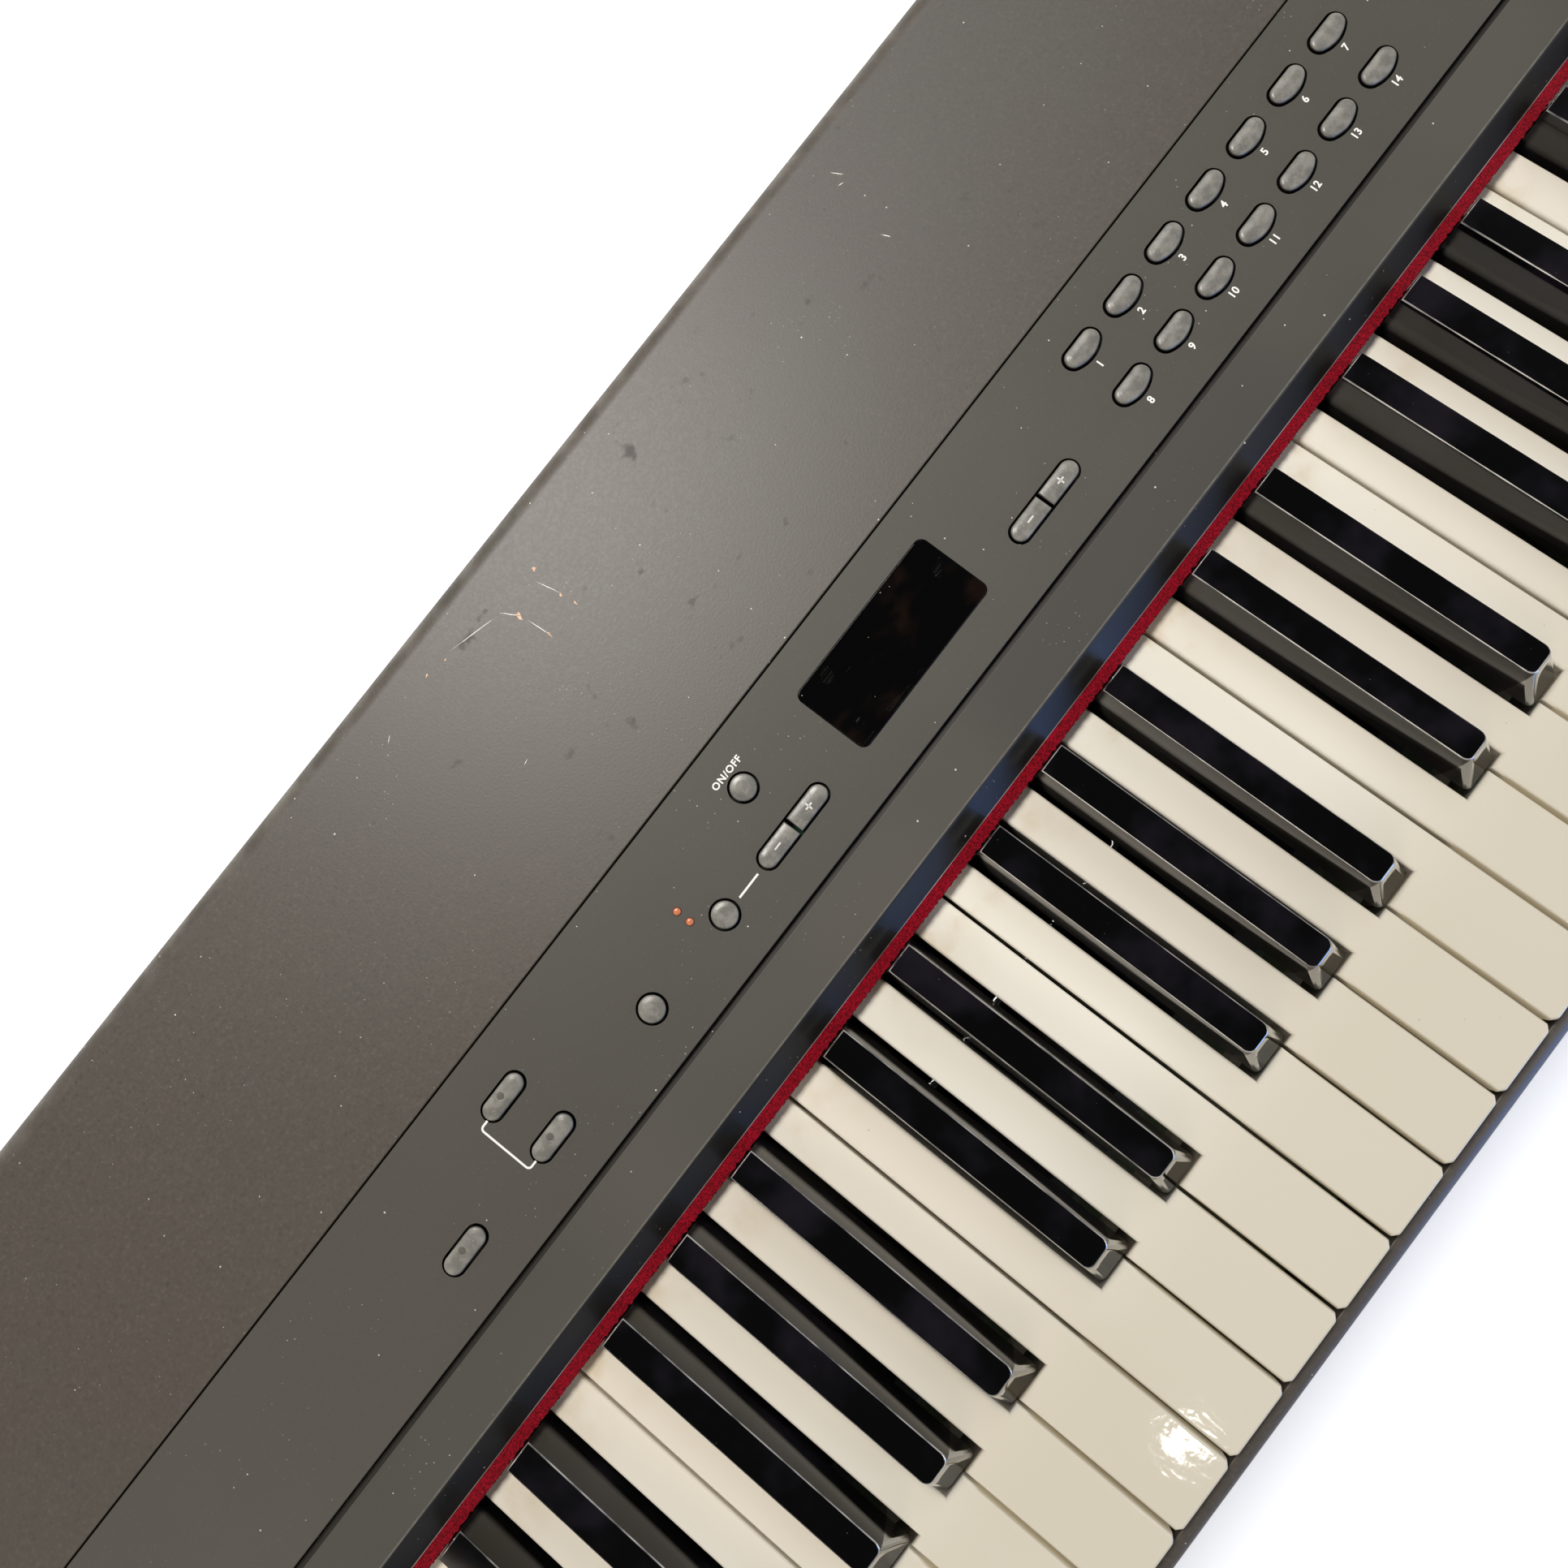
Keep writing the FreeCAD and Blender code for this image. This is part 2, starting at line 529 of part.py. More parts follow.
# End blocks: hollow mouldings with a rounded nose; their top follows the panel and the cover.
for label, side in (("left_end_block", -1), ("right_end_block", 1)):
    block = node("PartDesign::Body", label)
    cheek = sketch(block, "YZ", f"{side} * {INSIDE}")
    polygon(cheek, (
        (FRONT, BED), (REAR, BED), (REAR, COVER_Z), (COVER_Y, COVER_Z), (EDGE_Y, EDGE_Z), (FRONT, EDGE_Z),
    ))
    pad(block, cheek, f"total_width / 2 - {INSIDE}", backwards=side < 0)
    outer = side * number("total_width / 2")
    front, rear = number(FRONT), number(REAR)
    top_front, top_rear = number(EDGE_Z), number(COVER_Z)
    dress(block, "Fillet", "end_nose", lambda p: abs(p.y - front) < 0.1 and abs(p.z - top_front) < 0.1)
    dress(block, "Fillet", "cover_round", lambda p: abs(p.y - rear) < 0.1 and abs(p.z - top_rear) < 0.1)
    bed = number(BED)
    dress(block, "Fillet", "end_edge", lambda p: abs(p.x - outer) < 0.1 and p.z > bed - 0.1)
    core = sketch(block, "YZ", f"{side} * ({INSIDE} + end_wall)")
    polygon(core, (
        (f"{FRONT} + end_wall", f"{BED} - 1"),
        (f"{REAR} - end_wall", f"{BED} - 1"),
        (f"{REAR} - end_wall", f"{COVER_Z} - cover_round"),
        (f"{REAR} - cover_round", f"{COVER_Z} - end_wall"),
        (COVER_Y, f"{COVER_Z} - end_wall"),
        (EDGE_Y, f"{EDGE_Z} - end_wall"),
        (f"{FRONT} + end_nose", f"{EDGE_Z} - end_wall"),
        (f"{FRONT} + end_wall", f"{EDGE_Z} - end_nose"),
    ))
    cut(block, core, f"total_width / 2 - {INSIDE} - 2 * end_wall", backwards=side > 0)
    bosses = sketch(block, "XY", BED)
    sockets = sketch(block, "XY", BED)
    for x, y in BLOCK_SCREWS[1 + side:3 + side]:
        circle(bosses, x, y, "screw_radius + end_wall")
        circle(sockets, x, y, "screw_radius + close_fit")
    pad(block, bosses, "screw_length")
    cut(block, sockets, "screw_length - boss_roof", backwards=True)

# The steel cover: one folded sheet with a front flange, a flat top and a rounded rear bend.
top_cover = node("PartDesign::Body", "top_cover")
fold = sketch(top_cover, "YZ")
SKIRT = f"{BED} + rear_height"
polygon(fold, (
    (COVER_Y, f"{COVER_Z} - cover_lap"), (f"{COVER_Y} + cover_wall", f"{COVER_Z} - cover_lap"),
    (f"{COVER_Y} + cover_wall", f"{COVER_Z} - cover_wall"),
    (f"{REAR} - cover_wall", f"{COVER_Z} - cover_wall"),
    (f"{REAR} - cover_wall", f"{SKIRT} - rear_lap"), (REAR, f"{SKIRT} - rear_lap"),
    (REAR, COVER_Z), (COVER_Y, COVER_Z),
))
pad(top_cover, fold, f"2 * {SPAN}", symmetric=True)
inner_rear = number(f"{REAR} - cover_wall")
inner_top = number(f"{COVER_Z} - cover_wall")
dress(top_cover, "Fillet", "cover_round", lambda p: abs(p.y - rear) < 0.1 and abs(p.z - top_rear) < 0.1)
dress(top_cover, "Fillet", "cover_round - cover_wall",
      lambda p: abs(p.y - inner_rear) < 0.1 and abs(p.z - inner_top) < 0.1)

# The fascia: a folded strip whose bevel looks down at the keys. A flange under it carries the felt,
# and a step along its rear closes the groove in front of the control panel.
fascia = node("PartDesign::Body", "front_fascia")
bend = sketch(fascia, "YZ")
TURN = "tan((bevel_angle - panel_slope) / 2)"
BACK = f"{EDGE_Y} + fascia_depth"
STEP = f"({BACK} + seam_wide - fit_gap)"
polygon(bend, (
    (f"{FELT_FRONT} + felt_show", FELT_TOP),
    (EDGE_Y, EDGE_Z),
    (BACK, f"{EDGE_Z} + fascia_depth * tan(panel_slope)"),
    (BACK, f"{EDGE_Z} + fascia_depth * tan(panel_slope) - seam_deep"),
    (STEP, f"{EDGE_Z} + fascia_depth * tan(panel_slope) - seam_deep"),
    (STEP, f"{EDGE_Z} - fascia_skirt"),
    (f"{STEP} - fascia_wall", f"{EDGE_Z} - fascia_skirt"),
    (f"{STEP} - fascia_wall",
     f"{EDGE_Z} + ({STEP} - {EDGE_Y} - fascia_wall) * tan(panel_slope) - fascia_wall"),
    (f"{EDGE_Y} + fascia_wall * (sin(panel_slope) + {TURN})",
     f"{EDGE_Z} - fascia_wall * (1 - {TURN} * tan(panel_slope))"),
    (f"{FELT_FRONT} + felt_show + fascia_wall / tan(bevel_angle / 2)", f"{FELT_TOP} + fascia_wall"),
    (f"{FELT_FRONT} + felt_depth", f"{FELT_TOP} + fascia_wall"),
    (f"{FELT_FRONT} + felt_depth", FELT_TOP),
))
pad(fascia, bend, f"2 * {SPAN}", symmetric=True)

felt_strip = node("Part::Box", "felt_strip", Length=f"2 * {SPAN}", Width="felt_depth", Height="felt_thick")
place(felt_strip, f"-{SPAN}", FELT_FRONT, f"{KEY_TOP} + felt_gap")

# Outlines on the control panel. A grown outline makes the hole that a button moves in.
HALF = "(pair_length / 4 + pair_split / 4)"


def round_button(drawing, x, y, grow):
    circle(drawing, x, y, f"round_radius + {grow}")


def pill_button(drawing, x, y, grow):
    capsule(drawing, x, y, f"pill_length + 2 * {grow}", f"pill_width + 2 * {grow}")


def left_button(drawing, x, y, grow):
    """The left part of a pill that is split in two; its right end is square."""
    capsule(drawing, x, y, f"(pair_length - pair_split) / 2 + 2 * {grow}", f"pair_width + 2 * {grow}",
            right=False)


def right_button(drawing, x, y, grow):
    capsule(drawing, x, y, f"(pair_length - pair_split) / 2 + 2 * {grow}", f"pair_width + 2 * {grow}",
            left=False)


def voice_button(drawing, x, y, grow):
    """Nearly straight at the rear, round at both ends and bulging to the front."""
    end = f"(voice_end + {grow})"
    a = "(voice_length / 2 - voice_end)"
    depth = f"(voice_depth + 2 * {grow})"
    big = f"(({a}^2 + ({depth} - {end})^2 - {end}^2) / (2 * ({depth} - 2 * {end})))"
    top = f"({y} + {depth} / 2)"
    deep = f"({top} - {depth} + {big})"
    share = f"({big} / ({big} - {end}))"
    east = (f"{x} + {a} * {share}", f"{deep} + ({top} - {end} - {deep}) * {share}")
    west = (f"{x} - {a} * {share}", east[1])
    left, right, middle = f"{x} - {a}", f"{x} + {a}", f"{top} - {end}"
    ring = [
        line(drawing, (right, top), (left, top)),
        arc(drawing, (left, middle), end, (left, top), west, x=left),
        arc(drawing, (x, deep), big, west, east, y=deep),
        arc(drawing, (right, middle), end, east, (right, top), x=right),
    ]
    hold(drawing, ring[0], 1, right, top)
    join(drawing, ring)


HALF_SIZES = {
    round_button: ("round_radius", "round_radius"),
    pill_button: ("pill_length / 2", "pill_width / 2"),
    left_button: ("(pair_length - pair_split) / 4", "pair_width / 2"),
    right_button: ("(pair_length - pair_split) / 4", "pair_width / 2"),
    voice_button: ("voice_length / 2", "voice_depth / 2"),
}
BUTTONS = (  # node, outline, its place on the panel, copies along X and their pitch
    ("demo", round_button, "demo_x", "row_front", 1, None),
    ("function", round_button, "function_x", "row_front", 1, None),
    ("click", round_button, "tempo_x", "row_rear", 1, None),
    ("transpose", pill_button, "transpose_x", "row_front", 1, None),
    ("master", pill_button, "master_x", "row_rear", 1, None),
    ("master_edit", pill_button, "master_x", "row_front", 1, None),
    ("tempo_minus", left_button, f"(tempo_x - {HALF})", "row_front", 1, None),
    ("tempo_plus", right_button, f"(tempo_x + {HALF})", "row_front", 1, None),
    ("no", left_button, f"(answer_x - {HALF})", "row_front", 1, None),
    ("yes", right_button, f"(answer_x + {HALF})", "row_front", 1, None),
    ("voice_buttons_rear_row", voice_button, "voice_first", "row_rear", 7, "voice_pitch"),
    ("voice_buttons_front_row", voice_button, "voice_first", "row_front", 7, "voice_pitch"),
    ("effect_buttons", pill_button, "effect_first", "row_front", 4, "effect_pitch"),
)

# The control panel: a sloping plate with a flange along each long edge and bosses for its board.
control_panel = node("PartDesign::Body", "control_panel")
place(control_panel, y=PANEL_Y, z=PANEL_Z, slope="panel_slope")
plate = sketch(control_panel, "XY")
rectangle(plate, f"-{SPAN}", SPAN, "0", "panel_depth")
pad(control_panel, plate, "panel_wall", backwards=True)
for low, high in (("0", "panel_flange"), ("panel_depth - panel_flange", "panel_depth")):
    bar(control_panel, low, high, "-panel_wall - panel_skirt", "-panel_wall", f"2 * {SPAN}")
bosses = sketch(control_panel, "XY", "-panel_wall")
for x in ("transpose_x - 14", "lamp_x - 12", "answer_x + 24", "voice_first + 6.8 * voice_pitch",
          "effect_first + 3.5 * effect_pitch"):
    rectangle(bosses, f"{x} - boss_size / 2", f"{x} + boss_size / 2",
              "row_rear + boss_place - boss_size / 2", "row_rear + boss_place + boss_size / 2")
pad(control_panel, bosses, "board_drop - panel_wall", backwards=True)
for _, outline, x, y, count, pitch in BUTTONS:
    hole = sketch(control_panel, "XY")
    outline(hole, x, y, "button_gap")
    step = cut(control_panel, hole, "panel_wall")
    if count > 1:
        repeat(control_panel, step, count, pitch)
window = sketch(control_panel, "XY")
rounded(window, "display_x - display_width / 2", "display_x + display_width / 2",
        "display_y - display_depth / 2", "display_y + display_depth / 2", "display_corner")
cut(control_panel, window, "panel_wall")
slot = sketch(control_panel, "XY")
rectangle(slot, f"{SLIDER_X} - slider_travel - slider_stem", f"{SLIDER_X} + slider_travel + slider_stem",
          "slider_y - slider_stem / 2 - slot_play", "slider_y + slider_stem / 2 + slot_play")
cut(control_panel, slot, "panel_wall")
lamps = sketch(control_panel, "XY")
for step in range(2):
    circle(lamps, "lamp_x", f"lamp_rear - {step} * lamp_pitch", "lamp_radius + close_fit")
cut(control_panel, lamps, "panel_wall")

# Buttons: a cap through the panel and a wider flange under it that keeps the button in.
for name, outline, x, y, count, pitch in BUTTONS:
    button = node("PartDesign::Body", name)
    place(button, y=PANEL_Y, z=PANEL_Z, slope="panel_slope")
    cap = sketch(button, "XY", "-button_drop")
    outline(cap, x, y, "0")
    pad(button, cap, "button_rise + button_drop")
    crown = number("button_rise")
    dress(button, "Chamfer", "button_edge", lambda p: abs(p.z - crown) < 0.01)
    flange = sketch(button, "XY", "-button_drop")
    half_length, half_width = HALF_SIZES[outline]
    beyond = "(button_gap + flange_width)"
    left = "0" if outline is right_button else beyond
    right = "0" if outline is left_button else beyond
    rectangle(flange, f"{x} - {half_length} - {left}", f"{x} + {half_length} + {right}",
              f"{y} - {half_width} - {beyond}", f"{y} + {half_width} + {beyond}")
    pad(button, flange, "flange_thick")
    if count > 1:
        repeat(button, None, count, pitch)

# The display window: a smoked plate flush with the panel, held by a rim under it.
display = node("PartDesign::Body", "display_window")
place(display, y=PANEL_Y, z=PANEL_Z, slope="panel_slope")
pane = sketch(display, "XY")
rounded(pane, "display_x - display_width / 2 + display_play", "display_x + display_width / 2 - display_play",
        "display_y - display_depth / 2 + display_play", "display_y + display_depth / 2 - display_play",
        "display_corner")
pad(display, pane, "panel_wall", backwards=True)
rim = sketch(display, "XY", "-panel_wall")
rectangle(rim, "display_x - display_width / 2 - display_rim", "display_x + display_width / 2 + display_rim",
          "display_y - display_depth / 2 - display_rim", "display_y + display_depth / 2 + display_rim")
pad(display, rim, "rim_thick", backwards=True)

# Indicator lamps: two lenses in reamed holes.
lenses = node("PartDesign::Body", "indicator_lenses")
place(lenses, y=PANEL_Y, z=PANEL_Z, slope="panel_slope")
round_lens = sketch(lenses, "XY", "lamp_rise")
for step in range(2):
    circle(round_lens, "lamp_x", f"lamp_rear - {step} * lamp_pitch", "lamp_radius")
pad(lenses, round_lens, "board_drop + lamp_rise", backwards=True)

# The volume slider: a knob on a stem that runs in the panel's slot.
slider = node("PartDesign::Body", "volume_slider")
place(slider, y=PANEL_Y, z=PANEL_Z, slope="panel_slope")
knob = sketch(slider, "XZ", "-slider_y")
polygon(knob, (
    (f"{SLIDER_X} - knob_length / 2", "knob_gap"), (f"{SLIDER_X} + knob_length / 2", "knob_gap"),
    (f"{SLIDER_X} + knob_length / 3", "knob_height"), (SLIDER_X, "knob_height - knob_dish"),
    (f"{SLIDER_X} - knob_length / 3", "knob_height"),
))
pad(slider, knob, "knob_depth", symmetric=True)
stem = sketch(slider, "XY", "knob_gap")
rectangle(stem, f"{SLIDER_X} - slider_stem", f"{SLIDER_X} + slider_stem",
          "slider_y - slider_stem / 2", "slider_y + slider_stem / 2")
pad(slider, stem, "board_drop + knob_gap - slot_play", backwards=True)

# Circuit boards: the panel board on its bosses, the slider's own board, and the main board.
boards = node("PartDesign::Body", "circuit_boards")
place(boards, y=PANEL_Y, z=PANEL_Z, slope="panel_slope")
flat = sketch(boards, "XY", "-board_drop")
rectangle(flat, "transpose_x - board_left", "effect_first + 4 * effect_pitch",
          "board_front", "row_rear + board_rear")
pad(boards, flat, "circuit_thick", backwards=True)
track = sketch(boards, "XY", "-board_drop")
rectangle(track, f"{SLIDER_X} - slider_travel - track_end", f"{SLIDER_X} + slider_travel + track_end",
          "slider_y - track_width / 2", "slider_y + track_width / 2")
pad(boards, track, "circuit_thick", backwards=True)

# The main board stands on spacers behind the action; the rear sockets are soldered to it.
main_board = node("PartDesign::Body", "main_circuit_board")
MAIN_Z = f"({BED} + jack_height - jack_size / 2 - circuit_thick)"
MAIN_REAR = f"({REAR} - rear_inset - rear_wall - main_gap)"
big = sketch(main_board, "XY", MAIN_Z)
rectangle(big, "power_x - main_left", "jack_first + 5.6 * jack_pitch",
          f"{MAIN_REAR} - main_depth", MAIN_REAR)
pad(main_board, big, "circuit_thick")
spacers = sketch(main_board, "XY", BED)
for x in ("power_x - main_left + spacer_inset", "din_first", "jack_first + 5.6 * jack_pitch - spacer_inset"):
    for y in (f"{MAIN_REAR} - main_depth + spacer_inset", f"{MAIN_REAR} - spacer_rear"):
        circle(spacers, x, y, "spacer_radius")
pad(main_board, spacers, f"{MAIN_Z} - {BED}")

# The rear panel: a plate on the board with a hole for every socket.
JACKS = [f"jack_first + {n} * jack_pitch" for n in range(6)]
DINS = [f"din_first + {n} * din_pitch" for n in range(3)]
SOCKET_Z = f"{BED} + jack_height"
REAR_OUT = f"({REAR} - rear_inset)"
rear_panel = node("PartDesign::Body", "rear_panel")
wall = sketch(rear_panel, "YZ")
polygon(wall, (
    (f"{REAR_OUT} - rear_wall - rear_flange", BED), (REAR_OUT, BED), (REAR_OUT, SKIRT),
    (f"{REAR_OUT} - rear_wall", SKIRT), (f"{REAR_OUT} - rear_wall", f"{BED} + rear_wall"),
    (f"{REAR_OUT} - rear_wall - rear_flange", f"{BED} + rear_wall"),
))
pad(rear_panel, wall, f"2 * {SPAN}", symmetric=True)
openings = sketch(rear_panel, "XZ", f"-{REAR_OUT}")
for x in JACKS:
    circle(openings, x, SOCKET_Z, "jack_nose + nose_play")
for x in DINS:
    circle(openings, x, SOCKET_Z, "din_radius + nose_play")
circle(openings, "inlet_x", SOCKET_Z, "jack_nose + nose_play")
rectangle(openings, "power_x - power_width / 2 - power_play", "power_x + power_width / 2 + power_play",
          f"{SOCKET_Z} - power_height / 2 - power_play", f"{SOCKET_Z} + power_height / 2 + power_play")
cut(rear_panel, openings, "rear_wall", backwards=True)

# Rear sockets: six phone jacks, three five pin sockets, the power inlet and the power switch.
sockets = node("PartDesign::Body", "rear_sockets")
BEHIND = f"({REAR_OUT} - rear_wall)"
housings = sketch(sockets, "XZ", f"-({BEHIND} - housing_gap)")
for x in JACKS + ["inlet_x"]:
    rectangle(housings, f"{x} - jack_size / 2", f"{x} + jack_size / 2",
              f"{SOCKET_Z} - jack_size / 2", f"{SOCKET_Z} + jack_size / 2")
pad(sockets, housings, "jack_depth")
larger = sketch(sockets, "XZ", f"-({BEHIND} - housing_gap)")
for x in DINS + ["power_x"]:
    rectangle(larger, f"{x} - din_size / 2", f"{x} + din_size / 2",
              f"{SOCKET_Z} - jack_size / 2", f"{SOCKET_Z} + din_size / 2")
pad(sockets, larger, "din_size")
noses = sketch(sockets, "XZ", f"-({BEHIND} - housing_gap)")
for x in JACKS + ["inlet_x"]:
    circle(noses, x, SOCKET_Z, "jack_nose")
for x in DINS:
    circle(noses, x, SOCKET_Z, "din_radius")
pad(sockets, noses, "rear_wall + housing_gap", backwards=True)
bores = sketch(sockets, "XZ", f"-{REAR_OUT}")
for x in JACKS:
    circle(bores, x, SOCKET_Z, "jack_bore")
cut(sockets, bores, "jack_depth - jack_end", backwards=True)
sleeves = sketch(sockets, "XZ", f"-{REAR_OUT}")
for x in DINS:
    circle(sleeves, x, SOCKET_Z, "din_radius - din_rim")
    circle(sleeves, x, SOCKET_Z, "din_radius - din_rim - din_groove")
circle(sleeves, "inlet_x", SOCKET_Z, "inlet_bore")
circle(sleeves, "inlet_x", SOCKET_Z, "inlet_pin")
cut(sockets, sleeves, "din_deep", backwards=True)

well = sketch(sockets, "XZ", f"-({BEHIND} - housing_gap)")
rectangle(well, "power_x - power_width / 2 - power_play", "power_x + power_width / 2 + power_play",
          f"{SOCKET_Z} - power_height / 2 - power_play", f"{SOCKET_Z} + power_height / 2 + power_play")
cut(sockets, well, "power_travel + 1", backwards=True)

power_button = node("Part::Box", "power_button", Length="power_width", Width=f"{REAR} - {BEHIND}",
                    Height="power_height")
place(power_button, "power_x - power_width / 2", BEHIND, f"{SOCKET_Z} - power_height / 2")

# The action frame: a steel base with a front shelf, a web for each axle and a box beam.
SHELF_FRONT = f"({KEY_FRONT} + shelf_inset)"
SHELF_REAR = f"({PIVOT_Y} - leg_front - shelf_gap)"
STOP_Z = f"({HAMMER_Z} + hammer_crown * cos(hammer_swing) + crown_half * sin(hammer_swing) + felt_clear)"
BEAM_Z = f"({STOP_Z} + stop_felt_height)"
HALF_WEB = "sheet_thick / 2"
frame = node("PartDesign::Body", "key_chassis")
ALONG = f"({KEYS_WIDTH} - 2 * frame_short)"
bar(frame, f"{FRONT} + slip_thick + slip_flange + frame_gap", f"{PIVOT_Y} + frame_behind",
    BED, f"{BED} + sheet_thick", ALONG)
bar(frame, f"{SHELF_REAR} - shelf_web - sheet_thick", f"{SHELF_REAR} - shelf_web",
    f"{BED} + sheet_thick", f"{SHELF} - sheet_thick", ALONG)
bar(frame, SHELF_FRONT, SHELF_REAR, f"{SHELF} - sheet_thick", SHELF, ALONG)
bar(frame, f"{HAMMER_Y} - {HALF_WEB}", f"{HAMMER_Y} + {HALF_WEB}", f"{BED} + sheet_thick",
    f"{HAMMER_Z} - hammer_axle_radius - close_fit", ALONG)
bar(frame, f"{PIVOT_Y} - {HALF_WEB}", f"{PIVOT_Y} + {HALF_WEB}", f"{BED} + sheet_thick",
    f"{PIVOT_Z} - key_axle_radius - close_fit", ALONG)
beam = sketch(frame, "YZ")
BEAM_REAR = f"({PIVOT_Y} - {HALF_WEB})"
rectangle(beam, f"{BEAM_REAR} - beam_depth", BEAM_REAR, BEAM_Z, f"{BEAM_Z} + beam_height")
rectangle(beam, f"{BEAM_REAR} - beam_depth + sheet_thick", f"{BEAM_REAR} - sheet_thick",
          f"{BEAM_Z} + sheet_thick", f"{BEAM_Z} + beam_height - sheet_thick")
pad(frame, beam, ALONG, symmetric=True)
REST_Z = (f"({HAMMER_Z} + (crown_half * sin(hammer_swing) + hammer_crown * cos(hammer_swing)"
          f" - hammer_back * sin(hammer_swing)) / cos(hammer_swing) - hammer_weight - felt_clear)")
bar(frame, f"{HAMMER_Y} + hammer_back - rest_depth", f"{HAMMER_Y} + hammer_back", f"{BED} + sheet_thick",
    f"{REST_Z} - rest_felt_height", ALONG)
fixings = sketch(frame, "XY", BED)
for x, y in FRAME_SCREWS:
    circle(fixings, x, y, "screw_radius + close_fit")
cut(frame, fixings, "sheet_thick", backwards=True)

axles = node("PartDesign::Body", "action_axles")
rods = sketch(axles, "YZ")
circle(rods, PIVOT_Y, PIVOT_Z, "key_axle_radius")
circle(rods, HAMMER_Y, HAMMER_Z, "hammer_axle_radius")
pad(axles, rods, ALONG, symmetric=True)

# Felts of the action: under the keys' fronts, over the hammers' backs and under their ends.
felts = node("PartDesign::Body", "action_felts")
WHITE_FELT = f"({KEY_FRONT} + white_felt_place)"
SHARP_FELT = f"({KEY_FRONT} + sharp_setback + sharp_felt_place)"
HAMMER_REAR = f"({HAMMER_Y} + hammer_back)"
bar(felts, WHITE_FELT, f"{WHITE_FELT} + white_felt_depth", SHELF, f"{SHELF} + white_felt_height", ALONG)
bar(felts, SHARP_FELT, f"{SHARP_FELT} + sharp_felt_depth", SHELF, f"{SHELF} + sharp_felt_height", ALONG)
bar(felts, f"{HAMMER_REAR} - stop_felt_place - stop_felt_depth", f"{HAMMER_REAR} - stop_felt_place",
    STOP_Z, BEAM_Z, ALONG)
bar(felts, f"{HAMMER_REAR} - rest_depth", HAMMER_REAR, f"{REST_Z} - rest_felt_height", REST_Z, ALONG)

# Key contacts: a long circuit board on the beam with a rubber dome strip along it.
contacts = node("PartDesign::Body", "key_contacts")
CONTACT_Z = f"({BEAM_Z} + beam_height)"
bar(contacts, f"{PIVOT_Y} - beam_depth", f"{PIVOT_Y} - contact_back",
    CONTACT_Z, f"{CONTACT_Z} + circuit_thick", ALONG)
bar(contacts, f"{PIVOT_Y} - 0.8 * beam_depth", f"{PIVOT_Y} - 0.5 * beam_depth",
    f"{CONTACT_Z} + circuit_thick", f"{CONTACT_Z} + circuit_thick + contact_rise", ALONG)

# The keyboard. Each key turns on the key axle, in a fork at its rear end. A natural has a wide head,
# a narrow tail between the sharps, hollows underneath, and a leg that pushes its hammer.
SHARPS = {
    "c_sharp": f"(c_sharp_line * {PITCH})",
    "d_sharp": f"(d_sharp_line * {PITCH})",
    "f_sharp": f"((3 + f_sharp_line) * {PITCH})",
    "g_sharp": f"((3 + g_sharp_line) * {PITCH})",
    "a_sharp": f"((3 + a_sharp_line) * {PITCH})",
}
NATURALS = {
    "c": (0, None, "c_sharp"), "d": (1, "c_sharp", "d_sharp"), "e": (2, "d_sharp", None),
    "f": (3, None, "f_sharp"), "g": (4, "f_sharp", "g_sharp"), "a": (5, "g_sharp", "a_sharp"),
    "b": (6, "a_sharp", None),
}
FIRST_OCTAVE = {"a": 0, "a_sharp": 0, "b": 0}
COPIES = {"a": 8, "a_sharp": 8, "b": 8, "c": 8}
OCTAVE = f"(7 * {PITCH})"
KEY_BASE = "-key_depth"
LEG_FOOT = "(-pivot_drop - hammer_drop + nose_rise + leg_gap)"
guides = []


def first_line(name):
    """The left edge of the C in the lowest octave that has a key of this name."""
    return f"(7 * {FIRST_OCTAVE.get(name, 1)} - 31) * {PITCH}"


def natural(name):
    """Left and right edges of a natural's head, and of its tail between the sharps."""
    place_in_octave, before, after = NATURALS[name]
    left = f"({place_in_octave} * {PITCH} + white_gap / 2)"
    right = f"({place_in_octave + 1} * {PITCH} - white_gap / 2)"
    tail_left = f"({SHARPS[before]} + notch_width / 2)" if before else left
    tail_right = f"({SHARPS[after]} - notch_width / 2)" if after else right
    return left, right, tail_left, tail_right


def keys(name):
    """A body for all keys of one name, with its origin over the key pivot at its first C line."""
    body = node("PartDesign::Body", "keys_" + name)
    place(body, first_line(name), PIVOT_Y, KEY_TOP)
    return body


def leg(body, middle):
    foot = sketch(body, "YZ", f"{middle} - leg_width / 2")
    polygon(foot, (
        ("-leg_front", KEY_BASE), ("-leg_front", LEG_FOOT), ("-leg_front + leg_thick", LEG_FOOT),
        ("-leg_front + 2 * leg_thick", KEY_BASE),
    ))
    pad(body, foot, "leg_width")


def fork(body, low_x, high_x):
    """The slot that sits over the key axle, open below."""
    slot = sketch(body, "YZ", low_x)
    half = "key_axle_radius + fork_play"
    rectangle(slot, f"-({half})", half, f"{KEY_BASE} - 1", f"-pivot_drop + {half}")
    cut(body, slot, f"{high_x} - ({low_x})", backwards=True)


